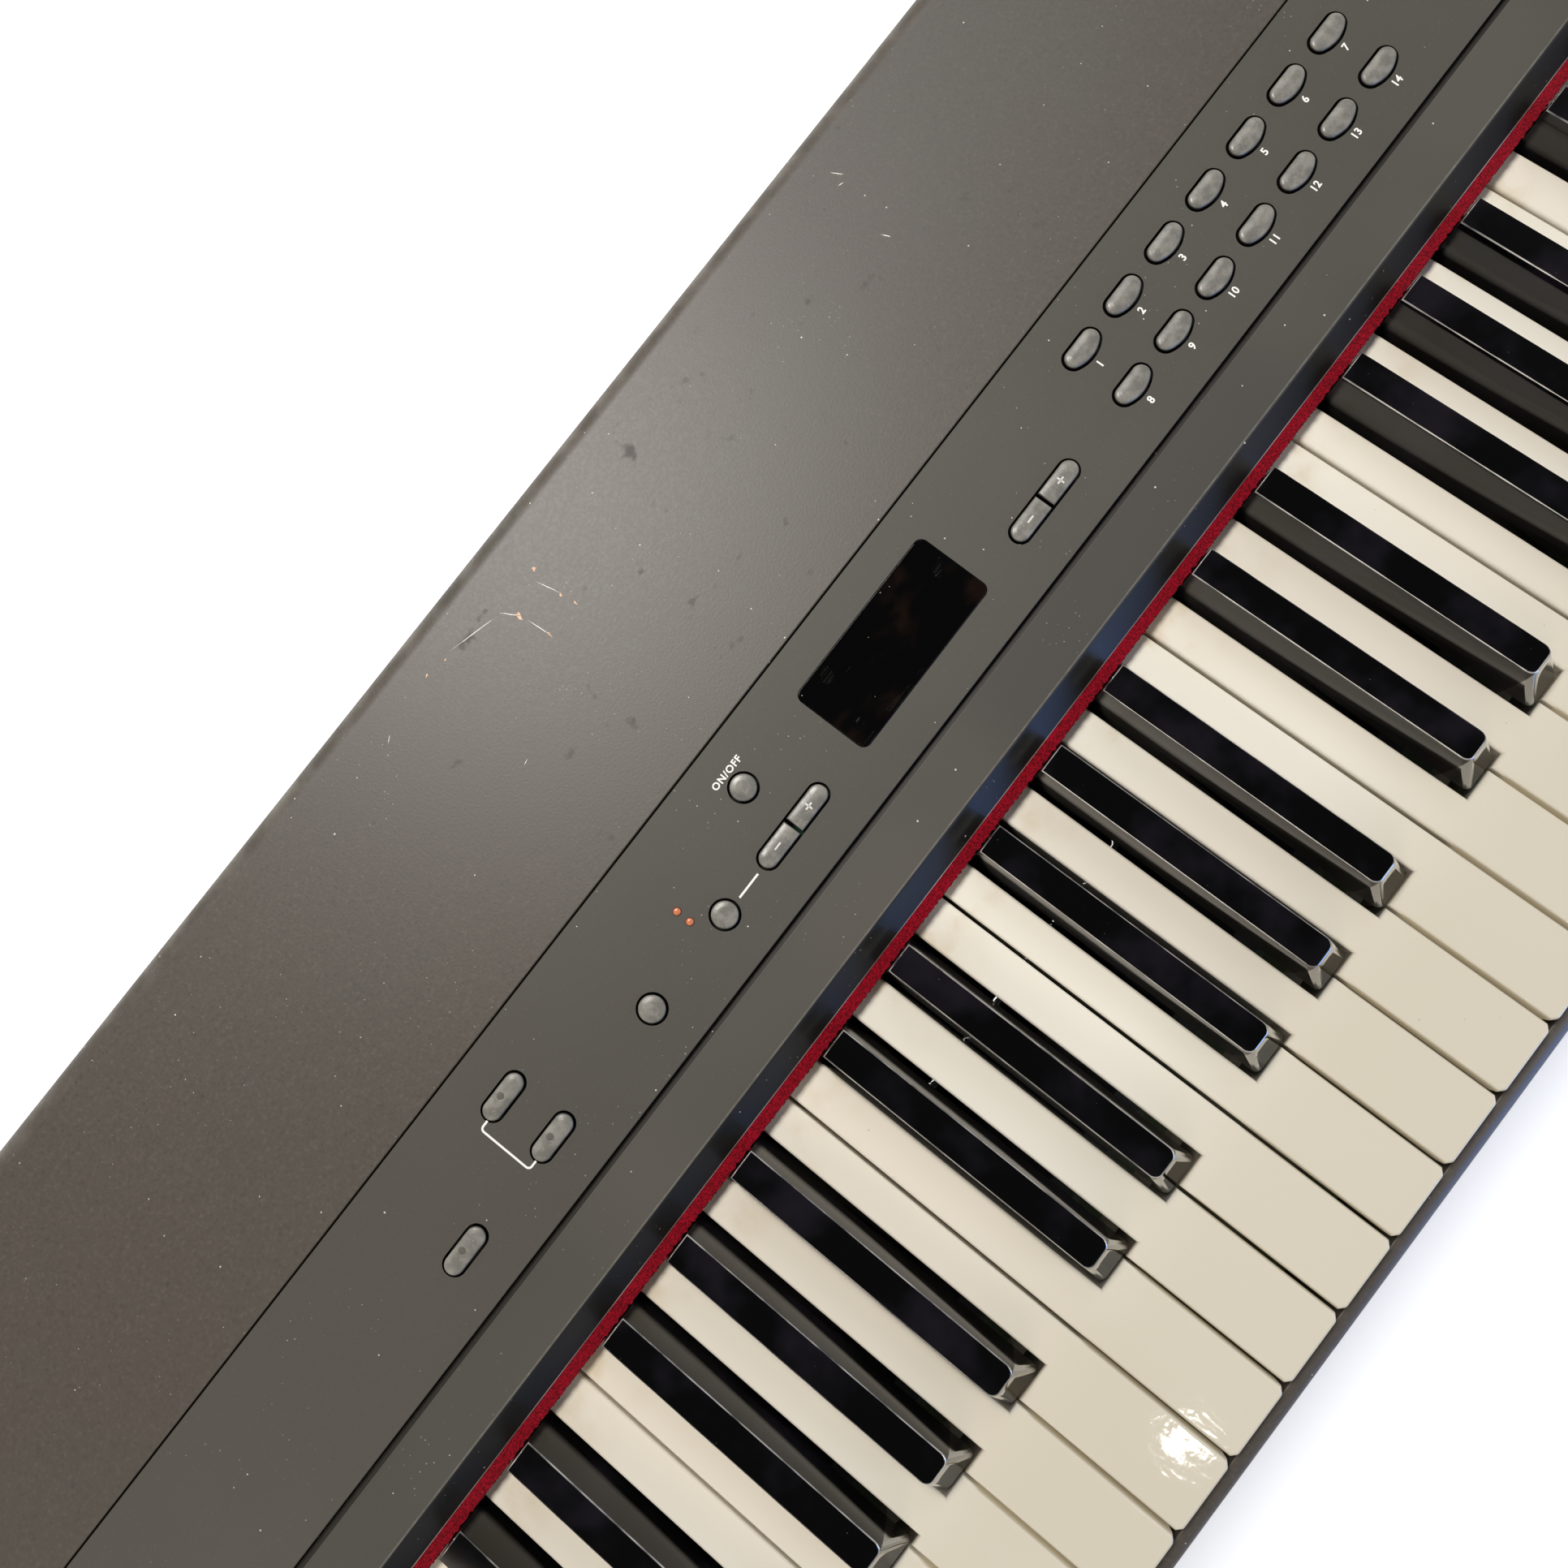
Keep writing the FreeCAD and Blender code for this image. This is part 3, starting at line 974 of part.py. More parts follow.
for name, (_, before, after) in NATURALS.items():
    body = keys(name)
    left, right, tail_left, tail_right = natural(name)
    shoulder = "-key_reach + head_length"
    corners = [
        (f"{left} + key_corner", "-key_reach"), (f"{right} - key_corner", "-key_reach"),
        (right, "-key_reach + key_corner"),
    ]
    if after:
        corners += [(right, shoulder), (tail_right, shoulder)]
    corners += [(tail_right, "key_back"), (tail_left, "key_back")]
    if before:
        corners += [(tail_left, shoulder), (left, shoulder)]
    corners += [(left, "-key_reach + key_corner")]
    top = sketch(body, "XY")
    polygon(top, corners)
    pad(body, top, "key_depth", backwards=True)
    lip = sketch(body, "XY", KEY_BASE)
    rectangle(lip, f"{left} - 1", f"{right} + 1", "-key_reach - 1", "-key_reach + lip_reach")
    cut(body, lip, "key_depth - lip_depth", backwards=True)
    hollow = sketch(body, "XY", KEY_BASE)
    rectangle(hollow, f"{left} + key_wall", f"{right} - key_wall", "-key_reach + lip_reach + key_wall",
              f"{shoulder} - key_wall")
    rectangle(hollow, f"{tail_left} + key_wall", f"{tail_right} - key_wall", "-leg_front + 3 * leg_thick",
              "-key_axle_radius - fork_wall")
    cut(body, hollow, "key_depth - key_roof", backwards=True)
    leg(body, f"({tail_left} + {tail_right}) / 2")
    fork(body, tail_left, tail_right)
    repeat(body, None, COPIES.get(name, 7), OCTAVE)
    # The lowest A and the highest C have no sharp on their outer side, so their tails are wider.
    outer = {"a": (left, tail_left), "c": (f"7 * {OCTAVE} + {tail_right}", f"7 * {OCTAVE} + {right}")}
    if name in outer:
        rest = sketch(body, "XY")
        rectangle(rest, *outer[name], shoulder, "key_back")
        pad(body, rest, "key_depth", backwards=True)
        fork(body, *outer[name])
    guides.append((name, f"{left} + key_wall + guide_play", f"{right} - key_wall - guide_play",
                   "guide_place"))

for name, middle in SHARPS.items():
    body = keys(name)
    left, right = f"{middle} - sharp_width / 2", f"{middle} + sharp_width / 2"
    start = "-key_reach + sharp_setback"
    lower = sketch(body, "XY")
    polygon(lower, (
        (f"{left} + sharp_corner", start), (f"{right} - sharp_corner", start),
        (right, f"{start} + sharp_corner"), (right, "key_back"),
        (left, "key_back"), (left, f"{start} + sharp_corner"),
    ))
    pad(body, lower, "key_depth", backwards=True)
    hollow = sketch(body, "XY", KEY_BASE)
    rectangle(hollow, f"{left} + key_wall", f"{right} - key_wall", f"{start} + key_wall",
              "-leg_front - key_wall")
    cut(body, hollow, "key_depth - key_roof", backwards=True)
    leg(body, middle)
    fork(body, left, right)
    cap = body.newObject("PartDesign::AdditiveWedge", body.Name + "_cap")
    inset = "(sharp_width - sharp_top_width) / 2"
    bind(cap, Xmin=left, Xmax=right, Zmax=f"-({start})", Zmin=f"-({start} + sharp_visible)", Ymin="0",
         Ymax="sharp_rise", X2min=f"{left} + {inset}", X2max=f"{right} - {inset}",
         Z2max=f"-({start} + sharp_slope)", Z2min=f"-({start} + sharp_visible)")
    own = [face for face in body.Origin.OriginFeatures if face.Role == "XY_Plane"]
    cap.AttachmentSupport = [(own[0], "")]
    cap.MapMode = "FlatFace"
    cap.AttachmentOffset = FreeCAD.Placement(Vector(), Rotation(Vector(1, 0, 0), 90))
    repeat(body, None, COPIES.get(name, 7), OCTAVE)
    guides.append((name, f"{left} + key_wall + guide_play", f"{right} - key_wall - guide_play",
                   "sharp_setback + sharp_guide_place"))

# Key guides: moulded tongues on the shelf, one up inside each key.
tongues = node("PartDesign::Body", "key_guides")
place(tongues, f"-31 * {PITCH}", KEY_FRONT, SHELF)
groups = {}
for name, low_x, high_x, y in guides:
    groups.setdefault((FIRST_OCTAVE.get(name, 1), COPIES.get(name, 7)), []).append((low_x, high_x, y))
for (octave, count), members in groups.items():
    strip = sketch(tongues, "XY")
    for low_x, high_x, y in members:
        rectangle(strip, f"{octave} * {OCTAVE} + {low_x}", f"{octave} * {OCTAVE} + {high_x}", y,
                  f"{y} + guide_thick")
    step = pad(tongues, strip, "guide_rise")
    repeat(tongues, step, count, OCTAVE)

# Hammers: cast weights that swing on the hammer axle; the key's leg pushes the nose down.
RISE = "tan(hammer_swing)"
BACK_TOP = f"(hammer_crown - (hammer_back - crown_half) * {RISE})"
HALF_FORK = "(hammer_axle_radius + fork_play)"
for name in list(NATURALS) + list(SHARPS):
    middle = "({} + {}) / 2".format(*natural(name)[2:]) if name in NATURALS else SHARPS[name]
    body = node("PartDesign::Body", "hammers_" + name)
    place(body, first_line(name), HAMMER_Y, HAMMER_Z)
    side = sketch(body, "YZ", f"{middle} - hammer_width / 2")
    polygon(side, (
        ("-hammer_nose", "nose_rise"), ("-hammer_nose", "nose_rise - hammer_tip"),
        (f"-{HALF_FORK} - fork_cheek", "-hammer_skirt"), (f"-{HALF_FORK}", "-hammer_skirt"),
        (f"-{HALF_FORK}", HALF_FORK), (HALF_FORK, HALF_FORK), (HALF_FORK, "-hammer_skirt"),
        (f"{HALF_FORK} + fork_cheek", "-hammer_skirt"), ("hammer_back", f"{BACK_TOP} - hammer_weight"),
        ("hammer_back", BACK_TOP), ("crown_half", "hammer_crown"), ("-crown_half", "hammer_crown"),
        ("-crown_run", "nose_rise"),
    ))
    pad(body, side, "hammer_width")
    repeat(body, None, COPIES.get(name, 7), OCTAVE)

doc.recompute()
for item in doc.Objects:
    if "Invalid" in item.State or "Error" in item.State:
        raise RuntimeError(f"{item.Name} failed: {item.State}")
os.makedirs("parts", exist_ok=True)
for item in NODES:
    if item.Shape.isNull() or not item.Shape.isValid():
        raise RuntimeError(f"{item.Label} has no valid shape")
    item.Shape.exportStep(f"parts/{item.Label}.step")
    print(item.Label, len(item.Shape.Solids), round(item.Shape.Volume))
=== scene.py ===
"""Stage piano with 88 weighted keys: the finish of every piece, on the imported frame.

Metres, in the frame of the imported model: +X is the player's right, +Y the rear, +Z up.
"""
from math import atan2, cos, pi, radians, sin, tan

import bmesh
import bpy
from mathutils import Matrix, Vector


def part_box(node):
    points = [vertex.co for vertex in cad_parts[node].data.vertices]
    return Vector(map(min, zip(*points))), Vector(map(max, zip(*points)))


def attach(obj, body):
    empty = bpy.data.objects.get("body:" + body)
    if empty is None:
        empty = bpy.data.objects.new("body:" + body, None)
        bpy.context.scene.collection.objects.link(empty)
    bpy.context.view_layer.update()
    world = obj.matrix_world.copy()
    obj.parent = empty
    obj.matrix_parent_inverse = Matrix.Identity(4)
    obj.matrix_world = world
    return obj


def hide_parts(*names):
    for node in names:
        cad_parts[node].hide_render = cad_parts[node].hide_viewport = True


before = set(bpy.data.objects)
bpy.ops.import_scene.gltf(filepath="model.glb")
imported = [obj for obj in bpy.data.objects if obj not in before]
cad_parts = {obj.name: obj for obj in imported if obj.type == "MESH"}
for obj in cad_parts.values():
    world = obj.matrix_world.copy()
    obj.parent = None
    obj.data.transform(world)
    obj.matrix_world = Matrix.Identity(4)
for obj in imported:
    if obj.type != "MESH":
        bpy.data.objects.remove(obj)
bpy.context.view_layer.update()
MM = 0.001

# Camera: held above the left half of the keyboard, looking steeply down, and turned so that the
# keys run from the upper left to the lower right.
camera = bpy.data.objects.new("camera", bpy.data.cameras.new("camera"))
camera.location = (-0.1776, 0.0023, 0.4165)
camera.rotation_euler = (radians(6.7661), radians(5.3966), radians(-52.0567))
camera.data.lens = 24.51
camera.data.sensor_width = 36
camera.data.clip_start = 0.01
bpy.context.collection.objects.link(camera)
bpy.context.scene.camera = camera
bpy.context.scene.view_settings.view_transform = "Standard"

# Light: soft boxes, a window, a small tube and a blue card round the piano in a plain room. The
# room is dimmer overhead than round the sides, so that gloss black stays black on top and catches
# the light on its edges.
SOFT_BOXES = (  # place, width, depth, power, colour
    ("rear_box", (0.02, 0.92, 1.62), 0.8, 0.5, 31, (1.0, 0.965, 0.925)),
    ("front_box", (0.9, -1.7, 1.5), 1.1, 1.1, 9, (1.0, 0.97, 0.93)),
    ("left_box", (-1.9, -0.3, 1.5), 1.0, 1.0, 6.5, (1.0, 0.88, 0.72)),
    ("window", (1.0, 0.85, 1.5), 0.6, 0.6, 4, (0.84, 0.93, 1.0)),
    ("tube", (-0.535, -0.85, 1.6), 0.07, 0.035, 0.2, (1.0, 0.98, 0.93)),
    ("blue_card", (0.05, -0.80, 0.22), 0.32, 0.32, 1.6, (0.10, 0.34, 1.0)),
)
LIT_SPOT = Vector((0, 0, 0.1))
ROOM_SIDES, ROOM_TOP = (0.46, 0.455, 0.45, 1), (0.05, 0.05, 0.052, 1)
SIDES_END, TOP_START = 0.2, 0.85


class Wire:
    """One socket of a material or the world. Operators add Math nodes, node() adds any other."""

    def __init__(self, tree, socket=None):
        self.tree, self.socket = tree, socket

    def node(self, kind, sockets=(), output=0, **settings):
        made = self.tree.nodes.new("ShaderNode" + kind)
        for name, value in settings.items():
            setattr(made, name, value)
        for name, value in dict(sockets).items():
            if isinstance(value, Wire):
                self.tree.links.new(value.socket, made.inputs[name])
            else:
                made.inputs[name].default_value = value
        return Wire(self.tree, made.outputs[output])

    def calculate(self, operation, first, second=0.0):
        return self.node("Math", {0: first, 1: second}, operation=operation)

    def __add__(self, other):
        return self.calculate("ADD", self, other)

    def __sub__(self, other):
        return self.calculate("SUBTRACT", self, other)

    def __rsub__(self, other):
        return self.calculate("SUBTRACT", other, self)

    def __mul__(self, other):
        return self.calculate("MULTIPLY", self, other)

    def __abs__(self):
        return self.calculate("ABSOLUTE", self)

    __radd__, __rmul__ = __add__, __mul__


def fade(value, low, high):
    """0 up to low, 1 from high on and smooth between; low may be the higher of the two."""
    ends = {"Value": value, "From Min": low, "From Max": high}
    return value.node("MapRange", ends, interpolation_type="SMOOTHSTEP")


def blend(first, second, share):
    """The first colour turning into the second as share goes from 0 to 1."""
    return share.node("Mix", {0: share, 6: first, 7: second}, output=2, data_type="RGBA")


for name, place, width, depth, power, colour in SOFT_BOXES:
    lamp = bpy.data.lights.new(name, "AREA")
    lamp.shape, lamp.size, lamp.size_y = "RECTANGLE", width, depth
    lamp.energy, lamp.color = power, colour
    box = bpy.data.objects.new(name, lamp)
    box.location = place
    box.rotation_euler = (LIT_SPOT - box.location).to_track_quat("-Z", "Y").to_euler()
    bpy.context.collection.objects.link(box)

world = bpy.data.worlds.new("room")
bpy.context.scene.world = world
world.use_nodes = True
sky = Wire(world.node_tree)
upwards = sky.node("SeparateXYZ", {0: sky.node("TexCoord")}, output="Z")
room = blend(ROOM_SIDES, ROOM_TOP, fade(upwards, SIDES_END, TOP_START))
world.node_tree.links.new(room.socket, world.node_tree.nodes["Background"].inputs["Color"])

# Floor: plain pale paper under the rubber feet, with the helpers that make a finish and a piece.
# It isn't part of the piano.
FLOOR_WIDTH = 30


def srgb(red, green, blue):
    """A colour as it looks on a screen, each part out of 255."""
    return (*(((v / 255 + 0.055) / 1.055) ** 2.4 for v in (red, green, blue)), 1)


class Finish:
    """A material: its shader's sockets set by name, and patterns drawn by place on the piece."""

    def __init__(self, name, **sockets):
        self.material = bpy.data.materials.new(name)
        self.material.use_nodes = True
        self.tree = self.material.node_tree
        self.shader = self.tree.nodes["Principled BSDF"]
        self.place = Wire(self.tree).node("TexCoord", output="Object")
        self.set(**sockets)

    def set(self, **sockets):
        for name, value in sockets.items():
            socket = self.shader.inputs[name.replace("_", " ")]
            if isinstance(value, Wire):
                self.tree.links.new(value.socket, socket)
            else:
                socket.default_value = value

    def along(self, axis):
        """The place on the piece along X, Y or Z."""
        return self.place.node("SeparateXYZ", {0: self.place}, output=axis)

    def moved(self, seed, stretch=(1, 1, 1), turn=0.0):
        """The place on the piece, shifted, stretched or turned about Z, for a pattern of its own."""
        return self.place.node(
            "Mapping",
            {"Vector": self.place, "Location": (seed, seed, seed), "Scale": stretch,
             "Rotation": (0, 0, turn)},
        )

    def cloud(self, size, detail=3.0, seed=0.0, stretch=(1, 1, 1), turn=0.0):
        """Soft noise about 0.5 with lumps of that size."""
        return self.place.node(
            "TexNoise",
            {"Vector": self.moved(seed, stretch, turn), "Scale": 1 / size, "Detail": detail},
        )

    def specks(self, pitch, radius, share, seed=0.0):
        """1 on round specks, in that share of the cells of that pitch, and 0 between them."""
        cell = {"Vector": self.moved(seed), "Scale": 1 / pitch}
        near = self.place.node("TexVoronoi", cell, output="Distance") * pitch
        chance = self.place.node("TexVoronoi", cell, output="Color")
        drawn = self.place.node("SeparateColor", {0: chance})
        size = self.place.node("SeparateColor", {0: chance}, output=1)
        round_speck = fade(near, radius * (0.4 + size * 0.6), radius * 0.3)
        return round_speck * fade(drawn, share, share * 0.99)

    def scratches(self, length, width, share, seed=0.0, turn=0.0):
        """1 on thin lines of that length, along X before the turn."""
        lines = self.cloud(width * 6, 0, seed, (width / length, 1, 1), turn)
        patches = self.cloud(length, 1, seed + 3, turn=turn)
        return fade(abs(lines - 0.5), 0.008, 0.0) * fade(patches, 1 - share, 1.02 - share)

    def relief(self, height, depth):
        """Stand proud by depth where the height is 1."""
        self.set(Normal=height.node("Bump", {"Height": height, "Distance": depth}))


def piece(shape, name, finish, body="root", stands_for=(), smooth=35):
    """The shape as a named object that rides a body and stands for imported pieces."""
    mesh = bpy.data.meshes.new(name)
    shape.to_mesh(mesh)
    shape.free()
    mesh.materials.append(finish.material)
    mesh.shade_smooth()
    mesh.set_sharp_from_angle(angle=radians(smooth))
    made = bpy.data.objects.new(name, mesh)
    bpy.context.collection.objects.link(made)
    made.modifiers.new("flat_faces_first", "WEIGHTED_NORMAL").keep_sharp = True
    if body:
        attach(made, body)
    if stands_for:
        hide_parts(*stands_for)
    return made


paper = Finish("floor_paper", Roughness=0.9, Emission_Strength=0.5)
seen = paper.place.node("LightPath", output="Is Camera Ray")
paper.set(
    Base_Color=blend(srgb(246, 246, 247), srgb(243, 243, 244), paper.cloud(0.8)),
    Emission_Color=blend((0, 0, 0, 1), (1, 1, 1, 1), seen),
)
sheet = bmesh.new()
bmesh.ops.create_grid(sheet, x_segments=1, y_segments=1, size=FLOOR_WIDTH / 2)
piece(sheet, "floor", paper, body=None)

# Bottom board: particle board faced with black laminate, its edges banded, screwed up into the
# case. Case screws: zinc-plated pan heads sunk in its underside.
WELD_REACH, FLAT_ANGLE = 0.001 * MM, radians(0.3)


def merged(node):
    """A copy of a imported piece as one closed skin, its flat faces whole again."""
    shape = bmesh.new()
    shape.from_mesh(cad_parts[node].data)
    bmesh.ops.remove_doubles(shape, verts=shape.verts, dist=WELD_REACH)
    bmesh.ops.dissolve_limit(
        shape, angle_limit=FLAT_ANGLE, verts=shape.verts, edges=shape.edges
    )
    return shape


def soften(shape, radius, segments=2, chosen=lambda edge: True, crisp=30):
    """Round the chosen ones of the edges where two faces meet at more than an angle."""
    edges = [
        e for e in shape.edges
        if e.is_manifold and e.calc_face_angle() > radians(crisp) and chosen(e)
    ]
    bmesh.ops.bevel(
        shape, geom=edges, offset=radius, offset_type="OFFSET", segments=segments,
        profile=0.5, affect="EDGES", clamp_overlap=False, material=-1,
    )
    return shape


def between(edge, low, high, axis=2):
    """Whether both ends of an edge lie between two places along an axis."""
    return all(low <= v.co[axis] <= high for v in edge.verts)


def paint(finish, *nodes):
    """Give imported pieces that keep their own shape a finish."""
    for node in nodes:
        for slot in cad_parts[node].material_slots:
            slot.material = finish.material


laminate = Finish("black_laminate", Roughness=0.55)
laminate.set(Base_Color=blend(srgb(38, 37, 36), srgb(50, 48, 46), laminate.cloud(0.9 * MM)))
laminate.relief(laminate.cloud(0.7 * MM), 0.03 * MM)
paint(laminate, "bottom_board")

zinc = Finish("zinc_plate", Metallic=1.0)
zinc.set(
    Base_Color=blend(srgb(176, 176, 170), srgb(146, 146, 140), zinc.cloud(2 * MM)),
    Roughness=0.28 + zinc.cloud(0.8 * MM, seed=2) * 0.2,
)
paint(zinc, "case_screws")

# Rubber feet: black moulded pucks under the board, rounded at the foot, with dust in the pores
# of the rubber.
FOOT_EDGE = 1.5 * MM
HAIR = 0.1 * MM  # slack with which the edges or points on a plane are picked

rubber = Finish("foot_rubber", Roughness=0.8)
rubber.set(Base_Color=blend(srgb(30, 30, 30), srgb(58, 57, 55), rubber.cloud(3 * MM, 6)))
rubber.relief(rubber.cloud(0.5 * MM), 0.05 * MM)
low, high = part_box("rubber_feet")
feet = soften(
    merged("rubber_feet"), FOOT_EDGE, 3, lambda e: between(e, low[2] - MM, low[2] + HAIR)
)
piece(feet, "feet", rubber, stands_for=["rubber_feet"])

# Keyboard frame: folded galvanised steel that carries both axles, with guide tongues of white
# nylon on its shelf, felts that stop keys and hammers, and rubber contacts on a board.
galvanised = Finish("galvanised_steel", Metallic=1.0)
galvanised.set(
    Base_Color=blend(srgb(168, 171, 173), srgb(128, 132, 135), galvanised.cloud(6 * MM, 1)),
    Roughness=0.32 + galvanised.cloud(9 * MM, 2, 4) * 0.25,
)
paint(galvanised, "key_chassis")

polished = Finish("polished_steel", Metallic=1.0)
polished.set(
    Base_Color=blend(srgb(205, 205, 203), srgb(178, 178, 176), polished.cloud(12 * MM)),
    Roughness=0.15 + polished.cloud(0.4 * MM, stretch=(0.02, 1, 1)) * 0.15,
)
paint(polished, "action_axles")

nylon = Finish("white_nylon", Roughness=0.4)
nylon.set(Base_Color=blend(srgb(226, 224, 214), srgb(212, 208, 196), nylon.cloud(8 * MM)))
paint(nylon, "key_guides")

green_felt = Finish("green_felt", Roughness=0.95, Sheen_Weight=0.4, Sheen_Roughness=0.4)
green_felt.set(Base_Color=blend(srgb(70, 84, 62), srgb(98, 112, 84), green_felt.cloud(1.2 * MM, 5)))
green_felt.relief(green_felt.cloud(0.35 * MM), 0.15 * MM)
paint(green_felt, "action_felts")

contact_rubber = Finish("contact_rubber", Roughness=0.7)
contact_rubber.set(
    Base_Color=blend(srgb(52, 52, 54), srgb(66, 66, 66), contact_rubber.cloud(4 * MM))
)
paint(contact_rubber, "key_contacts")

# Hammers: a blackened iron weight under each key, on the second axle of the frame. They wear
# bright where the keys' legs rub on them.
iron = Finish("blackened_iron", Metallic=0.7)
wear_and_glint = fade(iron.cloud(5 * MM, 5), 0.5, 0.75)
iron.set(
    Base_Color=blend(srgb(52, 51, 50), srgb(96, 92, 88), wear_and_glint),
    Roughness=0.65 - wear_and_glint * 0.25,
)
iron.relief(iron.cloud(0.6 * MM, seed=5), 0.06 * MM)
hammers = [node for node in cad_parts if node.startswith("hammers_")]
paint(iron, *hammers)

# Circuit boards: green solder mask over copper traces. One board is screwed to bosses under the
# panel, the slider has its own, and the main board stands on spacers behind the action.
mask = Finish("solder_mask", Roughness=0.3)
traces = fade(abs(mask.cloud(6 * MM, 0, stretch=(1, 0.2, 1)) - 0.5), 0.02, 0.01)
mask.set(Base_Color=blend(srgb(24, 78, 48), srgb(52, 120, 74), traces))
mask.relief(traces, 0.04 * MM)
paint(mask, "circuit_boards", "main_circuit_board")

# Natural keys: injection moulded in cream plastic, polished. A lip overhangs the front, every
# edge is rounded for the fingers, and dust and skin oil have browned them beside the felt.
NATURAL_EDGE = 1.0 * MM
LIP_HEIGHT = 3.6 * MM
STAIN_REACH = 26 * MM
HEAD_BACK = -106 * MM
felt_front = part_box("felt_strip")[0][1]
naturals = [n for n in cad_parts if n.startswith("keys_") and not n.endswith("_sharp")]
key_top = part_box("keys_c")[1][2]

ivory = Finish("ivory_plastic", IOR=1.5)
forward = ivory.along("Y")
near_felt = fade(forward, felt_front - STAIN_REACH, felt_front + 2 * MM)
stains = near_felt * fade(ivory.cloud(14 * MM, 5, 7), 0.42, 0.72)
specks = ivory.specks(6 * MM, 0.4 * MM, 0.3, 3)
cream = blend(srgb(240, 235, 222), srgb(231, 225, 208), ivory.cloud(0.16, 2))
faded = fade(ivory.cloud(60 * MM, 1, 21, (1, 0.15, 1)), 0.42, 0.6)
cream = blend(cream, srgb(227, 219, 203), faded)
# Painted shade: the heads are painted darker towards the front.
cream = blend(cream, srgb(206, 199, 180), fade(forward, -60 * MM, -120 * MM) * 0.85)
cream = blend(cream, srgb(196, 174, 134), stains * 0.6)
cream = blend(cream, srgb(150, 138, 118), specks * 0.5)
depth = ivory.along("Z") * -1 + key_top
on_head = fade(forward, HEAD_BACK, HEAD_BACK - 3 * MM)
# Painted shade: on the heads, the rounded long edges turn olive-brown down into the gaps.
cream = blend(cream, srgb(150, 138, 108), fade(depth, 0.02 * MM, 0.5 * MM) * on_head * 0.6)
# Painted light: a faint warm emission on the key sides down in the gaps, on the heads, stands for
# light passing through the plastic.
painted_glow = fade(depth, 0.3 * MM, 1.2 * MM) * fade(depth, 6 * MM, 3 * MM) * on_head
ivory.set(Emission_Color=blend((0, 0, 0, 1), (0.13, 0.11, 0.075, 1), painted_glow), Emission_Strength=1.0)
ivory.set(Base_Color=cream, Roughness=0.02 + ivory.cloud(30 * MM, 4, 2) * 0.07 + stains * 0.2)
ripple = ivory.cloud(9 * MM, 2, 9, (2, 1, 1)) + ivory.cloud(1.7 * MM, 1, 5) * 0.16
ivory.relief(ripple, 0.05 * MM)

for node in naturals:
    keys = soften(
        merged(node), NATURAL_EDGE, 4, lambda e: between(e, key_top - LIP_HEIGHT, key_top + MM)
    )
    piece(keys, node + "_moulding", ivory, node, [node])

# Sharps: gloss black mouldings, tapered towards the top. The front slants back, its corners are
# well rounded, and the long edges catch the light, with a patchy painted highlight on them.
SHARP_CORNER, SHARP_EDGE = 2.2 * MM, 0.42 * MM
SLANT_LENGTH, CORNER_REACH, UPRIGHT = 8 * MM, 20 * MM, 5 * MM
sharps = [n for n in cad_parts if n.startswith("keys_") and n.endswith("_sharp")]
sharp_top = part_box("keys_c_sharp")[1][2]

ebony = Finish("black_gloss_plastic", IOR=1.46)
dust = ebony.specks(2.6 * MM, 0.2 * MM, 0.25, 1)
slant = min(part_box(node)[0][1] for node in sharps) + SLANT_LENGTH
on_slant = fade(ebony.along("Y"), slant + 0.5 * MM, slant)
drop = ebony.along("Z") * -1 + sharp_top
on_edge = fade(drop, 0.03 * MM, 0.08 * MM) * fade(drop, SHARP_EDGE, SHARP_EDGE - 0.12 * MM)
hazy = fade(ebony.cloud(24 * MM, 3, 9), 0.46, 0.72)
black = blend(srgb(3, 3, 4), srgb(32, 29, 36), hazy * 0.6)
# Painted highlight: a patchy light grey on the rounded top edges, over their coat.
wear_and_glint = fade(ebony.cloud(8 * MM, 3, 11), 0.3, 0.68)
black = blend(black, srgb(214, 211, 205), on_edge * (wear_and_glint * 0.62))
ebony.set(
    Base_Color=blend(black, srgb(96, 92, 88), dust * 0.7),
    Roughness=0.04 + ebony.cloud(18 * MM, 4) * 0.05 + dust * 0.5,
    Coat_Weight=on_slant.calculate("MAXIMUM", on_slant, on_edge),
    Coat_Roughness=0.04, Coat_IOR=3.2,
)
ebony.relief(ebony.cloud(20 * MM, 2, 4), 0.05 * MM)

for node in sharps:
    keys = merged(node)
    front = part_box(node)[0][1]
    soften(
        keys, SHARP_CORNER, 5,
        lambda e: between(e, key_top - HAIR, sharp_top + MM)
        and abs(e.verts[0].co.z - e.verts[1].co.z) > UPRIGHT
        and between(e, front - MM, front + CORNER_REACH, 1),
    )
    soften(
        keys, SHARP_EDGE, 4, lambda e: between(e, sharp_top - 0.01 * MM, sharp_top + MM), crisp=20
    )
    piece(keys, node + "_moulding", ebony, node, [node], smooth=50)

# Felt: a strip of red woven felt held under the fascia, over the rear ends of the keys. Its front
# edge is cut and left frayed.
FELT_STEP, FUZZ = 0.9 * MM, 0.4 * MM
WAVE_LONG, WAVE_SHORT, WAVE_SAG, WAVE_LEAN = 2900, 5170, 4310, 3000  # radians to a metre

